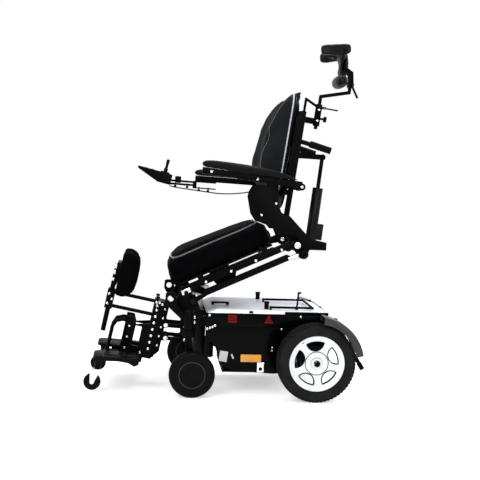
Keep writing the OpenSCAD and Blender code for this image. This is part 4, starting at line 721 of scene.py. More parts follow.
@dataclass
class Studio:
    """Camera, lamps, floor and background."""

    eye: Point = (-0.3320, -3.7044, 0.9103)
    yaw: float = 6.0
    pitch: float = 3.7
    roll: float = 2.2
    lens: float = 61.05
    sensor: float = 36.0
    lamps: tuple[Lamp, ...] = (
        Lamp("key_box", (-2.2, -3.2, 3.4), (0, 0, 0.7), (2.6, 2.0), 84),
        Lamp("top_box", (0.2, 0.3, 4.0), (0, 0, 0.5), (3.0, 2.4), 110),
        Lamp("side_box", (0.3, -4.2, 1.7), (0, 0, 0.4), (3.0, 0.9), 46),
        Lamp("rear_box", (3.0, 1.6, 2.4), (0.1, 0, 0.8), (1.6, 2.2), 60),
        Lamp("front_box", (-3.4, 0.8, 1.8), (0, 0, 0.8), (1.4, 2.2), 14))
    white: tuple[float, ...] = (1, 1, 1, 1)
    fill: tuple[float, ...] = (0.95, 0.975, 1.0, 1)
    fill_power: float = 0.74
    ground: tuple[float, ...] = (0.9, 0.9, 0.9, 1)
    ground_size: float = 9.0
    ground_glow: float = 0.42
    ground_fade: Pair = (0.8, 2.0)

    def camera(self) -> None:
        """Camera at the photograph's place and angle."""
        yaw, pitch, roll = (math.radians(a) for a in (self.yaw, self.pitch, self.roll))
        ahead = Vector((math.sin(yaw) * math.cos(pitch), math.cos(yaw) * math.cos(pitch), -math.sin(pitch)))
        level = Vector((math.cos(yaw), -math.sin(yaw), 0.0))
        rise = level.cross(ahead)
        right = level * math.cos(roll) + rise * math.sin(roll)
        up = rise * math.cos(roll) - level * math.sin(roll)
        data = bpy.data.cameras.new("photo_camera")
        data.lens, data.sensor_width = self.lens, self.sensor
        camera = put("photo_camera", data)
        camera.matrix_world = Matrix((right, up, -ahead)).transposed().to_4x4()
        camera.location = self.eye
        bpy.context.scene.camera = camera

    def light(self) -> None:
        """Soft boxes and a world that looks white and fills in a little less."""
        for lamp in self.lamps:
            data = bpy.data.lights.new(lamp.name, "AREA")
            data.shape, data.size, data.size_y, data.energy = "RECTANGLE", *lamp.size, lamp.power
            put(lamp.name, data).matrix_world = facing(lamp.place, Vector(lamp.place) - Vector(lamp.aim))
        world = bpy.context.scene.world = bpy.data.worlds.new("plain_white")
        world.use_nodes = True
        nodes = world.node_tree.nodes
        graph = Graph(world.node_tree, seen=nodes["Background"], out=nodes["World Output"])
        graph.fix("seen", {"Color": self.white, "Strength": 1.0})
        graph.add("fill", "Background", {"Color": self.fill, "Strength": self.fill_power})
        graph.add("path", "LightPath")
        graph.add("shine", "Math", operation="MAXIMUM")
        graph.add("clear", "Math", operation="MAXIMUM")
        graph.add("mix", "MixShader")
        graph.link("path.Is Camera Ray > shine.0, path.Is Glossy Ray > shine.1, shine.0 > clear.0,"
                   "path.Is Transmission Ray > clear.1, clear.0 > mix.Fac, fill.0 > mix.1, seen.0 > mix.2,"
                   "mix.0 > out.Surface")

    def floor(self) -> None:
        """Pale floor that keeps the object's shadow and runs into the white."""
        form = bmesh.new()
        bmesh.ops.create_grid(form, x_segments=2, y_segments=2, size=self.ground_size)
        ground = put("pale_floor", poured(form, "pale_floor"))
        paint = bpy.data.materials.new("pale_floor")
        paint.use_nodes = True
        nodes = paint.node_tree.nodes
        graph = Graph(paint.node_tree, shader=nodes["Principled BSDF"], out=nodes["Material Output"])
        graph.fix("shader", {"Base Color": self.ground, "Roughness": 0.9, "Specular IOR Level": 0.0,
                             "Emission Color": self.white, "Emission Strength": self.ground_glow})
        graph.add("place", "TexCoord")
        graph.add("away", "VectorMath", operation="LENGTH")
        graph.add("span", "MapRange", dict(zip(("From Min", "From Max"), self.ground_fade)))
        graph.add("plain", "Emission")
        graph.add("mix", "MixShader")
        graph.link("place.Object > away.0, away.Value > span.Value, span.Result > mix.Fac, shader.0 > mix.1,"
                   "plain.0 > mix.2, mix.0 > out.Surface")
        ground.data.materials.append(paint)


@dataclass
class Lead:
    """Lead from the joystick to the arm's rear end, in the right arm's own directions."""

    radius: float = 0.003
    cuts: int = 4
    route: tuple[Point, ...] = (
        (-0.550, 0.276, -0.0375), (-0.530, 0.276, -0.041), (-0.505, 0.274, -0.044), (-0.480, 0.270, -0.046),
        (-0.450, 0.263, -0.048), (-0.420, 0.258, -0.050), (-0.380, 0.257, -0.053), (-0.340, 0.257, -0.056),
        (-0.300, 0.257, -0.057), (-0.260, 0.257, -0.055), (-0.220, 0.258, -0.050), (-0.180, 0.259, -0.043),
        (-0.145, 0.261, -0.034), (-0.115, 0.264, -0.025), (-0.095, 0.268, -0.017), (-0.085, 0.272, -0.0115),
        (-0.080, 0.277, -0.0085))

    def build(self, chair: Chair) -> None:
        path = smooth_path([RIGHT_ARM @ Vector(p) for p in self.route], self.cuts)
        curve = round_curve("joystick_lead", path, self.radius)
        lead = chair.add("joystick_lead", curve, "right_arm", LEAD, "grip_rubber")
        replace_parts(lead, "joystick_cable")
        length = sum((b - a).length for a, b in zip(path, path[1:]))
        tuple(path[0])
        LOG.info("joystick_lead is %.3f m long", length)


# Eased hard parts

@dataclass
class EasedParts:
    """Hard parts with eased edges, from merged copies of their CAD nodes."""

    merge: float = 2e-6
    flat: float = 0.6
    corner: float = 38.0
    widths: tuple[tuple[float, str], ...] = (
        (0.0010, "tie_down_brackets joystick_mount knee_post leg_upper_links leg_lower_links back_frame"),
        (0.0010, "cover_fittings"),
        (0.0012, "chassis_frame mudguards leg_column both_tip_fork both_wheel_disc headrest_clamp"),
        (0.0012, "headrest_bracket both_tip_wheel carrier_bolts link_bolts"),
        (0.0014, "seat_frame lower_links recline_actuator lift_actuator"),
        (0.0015, "side_panels"),
        (0.0016, "back_carrier back_shell both_caster_wheel battery_pack push_grips"),
        (0.0018, "both_arm_frame both_footplate both_caster_fork"),
        (0.0020, "side_guards"),
        (0.0022, "top_cover"),
        (0.0030, "joystick_pod"))

    def build(self, chair: Chair) -> None:
        """Eases each node and lets the copy stand for it."""
        slots = {s["node"]: s["material_slot"] for s in chair.frame["record"]["subparts"]}
        for width, names in self.widths:
            for node in listed(names):
                mesh = self.ease(chair.node(node).data, width)
                finish = NODE_FINISH.get(node, POWDER)
                piece = chair.add(f"{node}_eased", mesh, chair.body(node), finish, slots[node])
                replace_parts(piece, node)

    def ease(self, source: Mesh, width: float) -> Mesh:
        """Copy of a mesh with eased edges.

        Args:
            source: Mesh of a CAD node.
            width: Width of the easing.

        Returns:
            The eased mesh.
        """
        form = filled(source)
        bmesh.ops.remove_doubles(form, verts=form.verts, dist=self.merge)
        bmesh.ops.dissolve_limit(form, angle_limit=math.radians(self.flat), verts=form.verts, edges=form.edges)
        for face in form.faces:
            face.smooth = True
        return modified(poured(form, "plain"), "BEVEL", width=width, segments=2, limit_method="ANGLE",
                        angle_limit=math.radians(self.corner), use_clamp_overlap=True, harden_normals=True)


# Upholstery

@dataclass(frozen=True)
class Seam:
    """A seam where a plane meets a pad.

    Share runs from the pad's mounted face (0) to its far face (1). A seam with a side runs up both
    sides instead, at that share of the pad's half width.
    """

    share: float = 0.0
    side: float = 0.0
    depth: float = 0.0020
    width: float = 0.0060
    bead: float = 0.0
    bead_finish: Finish = HIGHLIGHT_WELT


@dataclass(frozen=True)
class PadPlan:
    """How one pad is stuffed and sewn.

    A waist has its low and high end, the share that is kept and the rear line that it draws in to. A
    spine has points in the X and Z of the pad's frame.
    """

    node: str
    name: str
    frame: Matrix
    mount: Point
    voxel: float
    slack: float
    cap: float
    pressure: float
    fill: float
    seams: tuple[Seam, ...]
    finish: Finish = SHEEN_HIDE
    smoothing: int = 6
    creases: float = 0.0006
    waist: tuple[float, float, float, float] | None = None
    spine: Profile = ()


@dataclass
class Upholstery:
    """Stuffed pads made from their CAD forms by cloth under pressure."""

    merge: float = 1e-5
    held: float = 0.008
    steps: int = 20
    spine_radius: float = 0.015
    waist_reach: float = 0.050
    shortest_run: int = 24
    run_window: int = 3
    run_stride: int = 2
    seam_reach: float = 3.0
    crease_scale: float = 26.0
    plans: tuple[PadPlan, ...] = (
        PadPlan("seat_cushion", "seat_cushion_cover", SEAT, (0, 0, -1), 0.0064, 0.004, 0.012, 4.0, 0.8,
                (Seam(0.82, bead=0.0040), Seam(0.10, depth=0.0015)), DARK_HIDE),
        # The back takes the upholstery finish whose lightened base colour paints sheen
        PadPlan("back_cushion", "back_cushion_cover", BACK, (1, 0, 0), 0.0064, 0.004, 0.012, 4.0, 0.8,
                (Seam(side=0.82, depth=0.0024, width=0.005, bead=0.0015), Seam(0.42, depth=0.0036, width=0.005),
                 Seam(0.29, bead=0.0034, bead_finish=PALE_WELT)), smoothing=9),
        PadPlan("headrest_pad", "headrest_cover", BACK, (1, 0, 0), 0.0042, 0.003, 0.006, 4.0, 0.85,
                (Seam(0.45, depth=0.0012, width=0.004),), HEAD_HIDE, 9, waist=(0.690, 0.775, 0.34, 0.172),
                spine=((0.172, 0.664), (0.182, 0.700), (0.184, 0.742), (0.172, 0.794))),
        PadPlan("knee_pad", "knee_pad_cover", LEG, (-1, 0, 0), 0.0050, 0.003, 0.008, 4.0, 0.85,
                (Seam(0.22, depth=0.0018), Seam(0.80, depth=0.0018)), DARK_HIDE),
        *(PadPlan(f"{name}_arm_pad", f"{name}_arm_cover", frame, (0, 0, -1), 0.0036, 0.001, 0.002, 2.0, 0.95,
                  (Seam(0.24, depth=0.0012, width=0.003),), PAD, 5, 0.0)
          for name, frame in (("left", LEFT_ARM), ("right", RIGHT_ARM))))

    def build(self, chair: Chair) -> None:
        """Makes every pad with its beads."""
        for plan in self.plans:
            self.pad(chair, plan)

    def pad(self, chair: Chair, plan: PadPlan) -> None:
        """Args:
            chair: Chair that gets the pad.
            plan: How it is made.
        """
        mesh = self._remeshed(chair.node(plan.node).data, plan)
        self._stuff(mesh, plan)
        outward = plan.frame.to_3x3() @ -Vector(plan.mount)
        reach = [v.co.dot(outward) for v in mesh.vertices]
        low, high = min(reach), max(reach)
        across = Vector((0, 1, 0))
        half = max(v.co.y for v in mesh.vertices)
        loops: list[tuple[Seam, list[list[Vector]]]] = []
        for seam in plan.seams:
            if seam.side:
                cuts = [(across * way * half * seam.side, across) for way in (-1, 1)]
            else:
                cuts = [(outward * (low + (high - low) * seam.share), outward)]
            loops.append((seam, [run for cut in cuts for run in self._slice(mesh, *cut)]))
        mesh = modified(mesh, "SUBSURF", levels=1, render_levels=1)
        for face in mesh.polygons:
            face.use_smooth = True
        self._sew(mesh, loops, plan.creases)
        body = chair.body(plan.node)
        piece = chair.add(plan.name, mesh, body, plan.finish, "upholstery")
        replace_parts(piece, plan.node)
        for index, (seam, runs) in enumerate(loops):
            if seam.bead > 0 and runs:
                bead = Mold()
                for run in runs:
                    bead.tube(run, seam.bead, closed=True)
                chair.cast(f"{plan.name}_welt_{index}", bead, body, seam.bead_finish, "upholstery")

    def _remeshed(self, source: Mesh, plan: PadPlan) -> Mesh:
        """Even mesh of a pad, slightly smaller than its CAD form."""
        mold = Mold()
        form = mold.form
        form.from_mesh(source)
        bmesh.ops.remove_doubles(form, verts=form.verts, dist=self.merge)
        form.normal_update()
        for vert in form.verts:
            vert.co -= vert.normal * plan.slack
        if plan.waist:
            self._draw_in(form, plan)
        if plan.spine:
            path = smooth_path([plan.frame @ Vector((x, 0, z)) for x, z in plan.spine], 6)
            mold.tube(path, self.spine_radius, sides=6)
        mesh = modified(poured(form, "plain"), "REMESH", mode="VOXEL", voxel_size=plan.voxel)
        form = filled(mesh)
        for _ in range(plan.smoothing):
            bmesh.ops.smooth_vert(form, verts=form.verts, factor=0.5, use_axis_x=True, use_axis_y=True,
                                  use_axis_z=True)
        form.to_mesh(mesh)
        form.free()
        return mesh

    def _draw_in(self, form: bmesh.types.BMesh, plan: PadPlan) -> None:
        """Narrows the rear of a pad between two heights of its frame, to a share of its width and depth."""
        low, high, share, rear = plan.waist
        away = plan.frame.inverted()
        for vert in form.verts:
            at = away @ vert.co
            if at.x < rear - self.waist_reach:
                continue
            part = min(max((at.z - low) / (high - low), 0.0), 1.0)
            kept = 1 - (1 - share) * math.sin(math.pi * part) ** 0.5
            at.y *= kept
            at.x = rear + (at.x - rear) * kept
            vert.co = plan.frame @ at

    def _stuff(self, mesh: Mesh, plan: PadPlan) -> None:
        """Swells a pad's mesh with cloth under pressure, within a cap.

        Args:
            mesh: Mesh to change.
            plan: How it is stuffed.
        """
        holder = put("stuffing", mesh.copy())
        scene = bpy.context.scene
        mount = plan.frame.to_3x3() @ Vector(plan.mount)
        reach = [v.co.dot(mount) for v in mesh.vertices]
        limit = max(reach) - self.held
        held = holder.vertex_groups.new(name="held")
        held.add([i for i, r in enumerate(reach) if r > limit], 1.0, "REPLACE")
        cloth = holder.modifiers.new("stuffing", "CLOTH")
        cloth.settings.vertex_group_mass = "held"
        cloth.settings.use_pressure = True
        cloth.settings.uniform_pressure_force = plan.pressure
        cloth.settings.effector_weights.gravity = 0.0
        cloth.settings.quality = 4
        cloth.collision_settings.use_collision = False
        cloth.point_cache.frame_start, cloth.point_cache.frame_end = 1, self.steps
        for step in range(1, self.steps + 1):
            scene.frame_set(step)
        for vert, moved in zip(mesh.vertices, evaluated(holder).data.vertices):
            move = moved.co - vert.co
            vert.co += move if move.length <= plan.cap else move * (plan.cap / move.length)
        discard(holder)
        scene.frame_set(1)

    def _slice(self, mesh: Mesh, place: Vector, normal: Vector) -> list[list[Vector]]:
        """Loops where a plane cuts a mesh.

        Args:
            mesh: Closed mesh.
            place: Point of the plane.
            normal: Direction of the plane.

        Returns:
            Points of each loop in order.
        """
        form = filled(mesh)
        cut = bmesh.ops.bisect_plane(form, geom=[*form.verts, *form.edges, *form.faces], plane_co=place,
                                     plane_no=normal)["geom_cut"]
        edges = {e for e in cut if isinstance(e, bmesh.types.BMEdge)}
        loops: list[list[Vector]] = []
        near = range(-self.run_window, self.run_window + 1)
        while edges:
            edge = edges.pop()
            first, at = edge.verts
            run = [first.co.copy()]
            while at is not first:
                run.append(at.co.copy())
                onward = next((e for e in at.link_edges if e in edges), None)
                if onward is None:
                    break
                edges.discard(onward)
                at = onward.other_vert(at)
            if len(run) > self.shortest_run:
                loops.append([sum((run[(i + k) % len(run)] for k in near), Vector()) / len(near)
                              for i in range(0, len(run), self.run_stride)])
        form.free()
        return loops

    def _sew(self, mesh: Mesh, loops: Sequence[tuple[Seam, list[list[Vector]]]], creases: float) -> None:
        """Presses seams into a pad and adds slight creases."""
        normals = [v.normal.copy() for v in mesh.vertices]
        moves = [0.0] * len(mesh.vertices)
        for seam, runs in loops:
            points = [p for run in runs for p in run]
            if not points:
                continue
            tree = KDTree(len(points))
            for index, point in enumerate(points):
                tree.insert(point, index)
            tree.balance()
            for index, vert in enumerate(mesh.vertices):
                gap = tree.find(vert.co)[2]
                if gap < seam.width * self.seam_reach:
                    moves[index] -= seam.depth * math.exp(-(gap / seam.width) ** 2)
        for index, vert in enumerate(mesh.vertices):
            if creases:
                moves[index] += creases * noise.noise(vert.co * self.crease_scale)
            vert.co += normals[index] * moves[index]


# Wheels

@dataclass
class DriveWheels:
    """Treaded tyres, hub fittings and the black window linings, which paint the shade in the disc windows, of the
    two drive wheels.

    Profiles have a radius and a height along the axle. A tread row has its place across the tyre and its
    width. A window lies between a circle about the axle and a smaller one set off from it.
    """

    track: float = 0.290
    carcass: float = 0.1668
    profile: Profile = (
        (0.1205, -0.0335), (0.1225, -0.0372), (0.1285, -0.0388), (0.1300, -0.0402), (0.1335, -0.0402),
        (0.1350, -0.0392), (0.1460, -0.0396), (0.1475, -0.0404), (0.1492, -0.0396), (0.1560, -0.0376),
        (0.1612, -0.0345), (0.1650, -0.0300), (0.1664, -0.0200), (0.1668, -0.0080))
    rows: Profile = ((-0.0285, 0.0118), (-0.0150, 0.0112), (0.0, 0.0125), (0.0150, 0.0112), (0.0285, 0.0118))
    blocks: int = 62
    block: Pair = (0.0044, 0.0128)
    block_ease: float = 0.0009
    block_rise: float = 0.0007
    block_lean: float = 0.20
    shoulder: float = 0.02
    shoulder_drop: float = 0.0016
    cap: Profile = ((0.0145, 0.0300), (0.0145, 0.0352), (0.0136, 0.0378), (0.0115, 0.0392), (0.0, 0.0397))
    button: Profile = ((0.0, 0.0395), (0.0062, 0.0395), (0.0058, 0.0404), (0.0, 0.0406))
    valve: Profile = ((0.0, 0.016), (0.0034, 0.016), (0.0034, 0.024), (0.0026, 0.026), (0.0026, 0.031),
                      (0.0, 0.0315))
    valve_turn: float = 2.2
    valve_out: float = 0.1085
    rings: Pair = (0.0240, 0.0500)
    ring: Profile = ((-0.0020, -0.001), (-0.0016, 0.0006), (0.0016, 0.0006), (0.0020, -0.001))
    window_outer: float = 0.0960
    window_inner: float = 0.0408
    window_off: float = 0.0936
    spoke_share: float = 0.85
    window_turn: float = 24.0
    window_count: int = 5
    window_steps: tuple[int, int] = (12, 20)
    # Black linings inside the disc windows: painted shade standing for the shadowed window walls
    shade_lining: Pair = (-0.0075, 0.0006)
    shade_lining_wall: float = 0.0046

    def build(self, chair: Chair) -> None:
        """Makes both wheels' pieces."""
        for name, side in SIDES.items():
            hub = shift((AXLE[0], side * self.track, AXLE[1])) @ spun(math.radians(-90 * side), "X")
            self._tyre(chair, name, hub)
            self._hub(chair, name, hub)
            self._windows(chair, name, hub)

    def _tyre(self, chair: Chair, name: str, hub: Matrix) -> None:
        """Carcass with rows of tread blocks."""
        mold = Mold()
        mold.lathe([*self.profile, *((r, -h) for r, h in reversed(self.profile)), self.profile[0]], hub, 96)
        for index, (across, width) in enumerate(self.rows):
            drop = self.shoulder_drop if abs(across) > self.shoulder else 0.0
            seat = (shift((self.carcass + self.block_rise - drop, 0.0, across))
                    @ spun(self.block_lean * (index - 2), "X"))
            for step in range(self.blocks):
                turn = (step + 0.5 * (index % 2)) * math.tau / self.blocks
                mold.block((*self.block, width), hub @ spun(turn, "Z") @ seat, self.block_ease, 1)
        tyre = chair.cast(f"{name}_treaded_tyre", mold, f"{name}_drive", TYRE, "tyre_black")
        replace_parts(tyre, f"{name}_tyre")

    def _hub(self, chair: Chair, name: str, hub: Matrix) -> None:
        """Hub cap, dark rings on the disc and the valve."""
        cap = Mold()
        cap.lathe(self.cap, hub, 40)
        cap.lathe(self.button, hub, 20)
        for radius in self.rings:
            level = self._face(chair, name, hub, Vector((radius, 0, 0)))
            cap.lathe([(radius + out, level + up) for out, up in self.ring], hub, 72)
        cap.lathe(self.valve, hub @ spun(self.valve_turn, "Z") @ shift((self.valve_out, 0.0, 0.0)), 16)
        chair.cast(f"{name}_hub_cap", cap, f"{name}_drive", POD_SHELL, "shell_black")

    def _face(self, chair: Chair, name: str, hub: Matrix, spot: Vector) -> float:
        """Level of the disc's outer face at a spot, along the axle."""
        axis = Vector((0, 0, 1))
        met = chair.seat_on(f"{name}_wheel_disc", hub @ (spot + axis * 0.2), hub.to_3x3() @ -axis)
        return (hub.inverted() @ met).z

    def _windows(self, chair: Chair, name: str, hub: Matrix) -> None:
        """Black linings of the windows in the disc: painted shade for the shadowed window walls."""
        outer, inner, off = self.window_outer, self.window_inner, self.window_off
        across = (outer ** 2 - inner ** 2 + off ** 2) / (2 * off)
        edge = math.acos(across / outer)
        rear = math.atan2(outer * math.sin(edge), across - off)
        long, short = self.window_steps
        arc = [Vector((outer * math.cos(a), outer * math.sin(a)))
               for a in (edge * (step / long * 2 - 1) for step in range(long + 1))]
        arc += [Vector((off + inner * math.cos(a), inner * math.sin(a)))
                for a in (rear + (math.tau - 2 * rear) * step / short for step in range(1, short))]
        turns = [-SIDES[name] * (math.radians(self.window_turn) + step * math.tau / self.window_count)
                 for step in range(self.window_count)]
        spoke = spun((turns[0] + turns[1]) / 2, "Z") @ Vector((off * self.spoke_share, 0, 0))
        low, high = (self._face(chair, name, hub, spoke) + end for end in self.shade_lining)
        # Black walls round each window: painted shade for the window's shadowed depth
        mold = Mold()
        for turn in turns:
            mold.ribbon(arc, hub @ spun(turn, "Z"), low, high, self.shade_lining_wall)
        mold.outward(mold.form.verts)
        chair.cast(f"{name}_window_shade_linings", mold, f"{name}_drive", POD_SHELL, "shell_black")


@dataclass
class SmallWheels:
    """Highlight rings, caps and axle ends of the casters and the front anti-tip wheels; the rings' lighter grey is
    a painted highlight.

    Nuts and screws have a radius and a height.
    """

    # Raised ring on each caster face, lighter grey than the wheel: a painted highlight
    ring: Profile = ((0.0545, -0.001), (0.0550, 0.0010), (0.0562, 0.0013), (0.0574, 0.0010), (0.0579, -0.001))
    highlight_ring_spot: float = 0.055
    caster_nut: Pair = (0.0080, 0.0060)
    caster_track: float = 0.25
    cap: Profile = ((0.0235, -0.002), (0.0235, 0.004), (0.0215, 0.009), (0.0150, 0.013), (0.0, 0.0145))
    barrel: Point = (-0.175, 0.250, 0.369)
    tip_screw: Pair = (0.0052, 0.0034)
    tip_nut: Pair = (0.0085, 0.0060)
    tip_boss: Point = (-0.559, 0.190, 0.1335)

    def build(self, chair: Chair) -> None:
        """Makes both sides' pieces."""
        for name, side in SIDES.items():
            self._caster(chair, name, side)
            self._tip(chair, name, side)

    def _ends(self, chair: Chair, node: str, middle: Vector, reach: float) -> Iterator[Matrix]:
        """Places where a line along Y enters a node.

        Args:
            chair: Chair with the node.
            node: CAD node.
            middle: Point of the line inside the node.
            reach: How far outside the search starts.

        Yields:
            The place at each end, looking outward.
        """
        for way in (-1, 1):
            out = Vector((0, way, 0))
            spot = chair.seat_on(node, middle + out * reach, -out)
            if spot is not None:
                yield facing(spot, out)

    def _caster(self, chair: Chair, name: str, side: int) -> None:
        """Caster highlight rings (raised, in a lighter grey that paints a highlight), axle ends and the cap of its
        barrel.
        """
        low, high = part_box(f"{name}_caster_wheel")
        axis = Vector(((low[0] + high[0]) / 2, 0, (low[2] + high[2]) / 2))
        ring, ends, cap = Mold(), Mold(), Mold()
        beside = axis + Vector((self.highlight_ring_spot, (low[1] + high[1]) / 2, 0))
        for place in self._ends(chair, f"{name}_caster_wheel", beside, 0.1):
            ring.lathe(self.ring, shift((-self.highlight_ring_spot, 0, 0)) @ place, 56)
        chair.cast(f"{name}_caster_highlight_ring", ring, f"{name}_caster_roller", GUARD, "caster_black")
        middle = axis + Vector((0, side * self.caster_track, 0))
        for place in self._ends(chair, f"{name}_caster_fork", middle, 0.2):
            ends.hexagon(*self.caster_nut, place)
        chair.cast(f"{name}_caster_nuts", ends, f"{name}_caster", DARK_STEEL, "bright_steel")
        x, y, z = self.barrel
        cap.lathe(self.cap, shift((x, side * y, z)), 36)
        chair.cast(f"{name}_barrel_cap", cap, "base", POD_SHELL, "frame_black")

    def _tip(self, chair: Chair, name: str, side: int) -> None:
        """Axle screws of a front anti-tip wheel and its boss nut."""
        low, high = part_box(f"{name}_tip_wheel")
        x, y, z = self.tip_boss
        axis = Vector(((low[0] + high[0]) / 2, side * y, (low[2] + high[2]) / 2))
        ends, nut = Mold(), Mold()
        for place in self._ends(chair, f"{name}_tip_fork", axis, 0.1):
            ends.screw(*self.tip_screw, place)
        chair.cast(f"{name}_tip_screws", ends, f"{name}_tip", CHROME, "bright_steel")
        nut.hexagon(*self.tip_nut, shift((x, side * y, z)))
        chair.cast(f"{name}_tip_nut", nut, "leg", STEEL, "bright_steel")


# Fasteners and trim

class Head(Enum):
    """Kind of fastener head."""

    SCREW = "screw"
    NUT = "nut"


@dataclass(frozen=True)
class Row:
    """A row of like fasteners on the sides of a CAD node.

    Places are X and Z in the directions given, in millimetres.
    """

    node: str
    name: str
    frame: Matrix
    places: Profile
    radius: float
    head: Head = Head.SCREW
    finish: Finish = CHROME
    sides: tuple[int, ...] = (-1, 1)


@dataclass
class Fasteners:
    """Screws and nuts seated on the hard parts."""

    outside: float = 0.5
    rise: float = 0.62
    column_holes: int = 7
    column_first: Point = (-0.014, 0.0500, 0.036)
    column_pitch: float = 0.030
    column_screw: Pair = (0.0046, 0.0030)
    rows: tuple[Row, ...] = (
        Row("seat_frame", "rail_pivot_nuts", SEAT, ((0, 0),), 0.0105, Head.NUT, POWDER),
        Row("seat_frame", "rail_screws", SEAT, ((96, 9), (214, 9), (330, 9), (452, 8)), 0.0042),
        Row("chassis_frame", "upright_screws", BASE, ((-150, 340), (-150, 318)), 0.0050),
        Row("side_panels", "panel_screws", BASE, ((-84, 352), (318, 352), (255, 122)), 0.0042),
        Row("side_guards", "hip_guard_bolt", BACK, ((-118, 8), (-64, 66)), 0.0040),
        Row("side_panels", "nose_screws", BASE, ((-92, 292), (-81, 296), (-70, 300), (-59, 306)), 0.0040),
        Row("leg_column", "column_top_screws", LEG, ((-22, 250), (-8, 251), (6, 246), (-16, 236)), 0.0044),
        Row("left_arm_frame", "left_arm_screws", LEFT_ARM, ((0, 0), (-194, 5), (-390, 8)), 0.0050, sides=(-1,)),
        Row("right_arm_frame", "right_arm_screws", RIGHT_ARM, ((0, 0), (-34, 8), (-58, 8)), 0.0058, sides=(1,)),
        Row("leg_column", "column_rear_screws", LEG, tuple((22, z) for z in range(60, 229, 42)), 0.0036),
        Row("leg_column", "frame_screws", LEG, ((-118, 20), (-118, 70), (-118, 120), (-46, 12)), 0.0036),
        Row("leg_column", "clamp_screws", LEG, ((-238, 196), (-238, 240), (-222, 218)), 0.0040),
        Row("leg_upper_links", "upper_link_nuts", BASE, ((-182, 272), (-270, 278)), 0.0072, Head.NUT),
        Row("leg_lower_links", "lower_link_nuts", BASE, ((-182, 213), (-270, 219)), 0.0072, Head.NUT),
        Row("joystick_mount", "bracket_screws", RIGHT_ARM, ((-428, -14), (-428, -32), (-352, -38)), 0.0044,
            sides=(1,)),
        Row("headrest_clamp", "clamp_bolts", BACK, ((95, 470), (95, 520)), 0.0042),
        Row("carrier_bolts", "link_caps", BASE, ((314, 630),), 0.0168, finish=POWDER),
        Row("side_panels", "mark_screws", BASE, ((196, 214), (196, 200), (234, 296)), 0.0030))

    def build(self, chair: Chair) -> None:
        """Makes each row as one piece on the node's body."""
        for row in self.rows:
            mold = Mold()
            head = mold.hexagon if row.head is Head.NUT else mold.screw
            for x, z in row.places:
                at = row.frame @ Vector((x / 1000, 0, z / 1000))
                for side in row.sides:
                    out = Vector((0, side, 0))
                    spot = chair.seat_on(row.node, Vector((at.x, side * self.outside, at.z)), -out)
                    if spot is None or spot.y * side < 0:
                        LOG.warning("%s misses at %.0f, %.0f", row.name, x, z)
                        continue
                    head(row.radius, row.radius * self.rise, facing(spot, out))
            chair.cast(row.name, mold, chair.body(row.node), row.finish, "bright_steel")
        self._column(chair)

    def _column(self, chair: Chair) -> None:
        """Bright screws in the leg column's row of holes."""
        mold = Mold()
        for step in range(self.column_holes):
            places = both(LEG @ shift((0, 0, self.column_pitch * step)), self.column_first)
            for place, side in zip(places, SIDES.values()):
                mold.screw(*self.column_screw, facing(place.translation, (0, side, 0)))
        chair.cast("column_screws", mold, "leg", CHROME, "bright_steel")


@dataclass(frozen=True)
class Plate:
    """A block on both sides, with its size, its place, its easing and its lean about Y."""

    size: Point
    place: Point
    ease: float
    lean: float = 0.0

    def lay(self, mold: Mold, frame: Matrix = BASE) -> None:
        """Adds the block to a mold on both sides of a frame."""
        for place in both(frame, self.place):
            mold.block(self.size, place @ spun(self.lean, "Y"), self.ease)


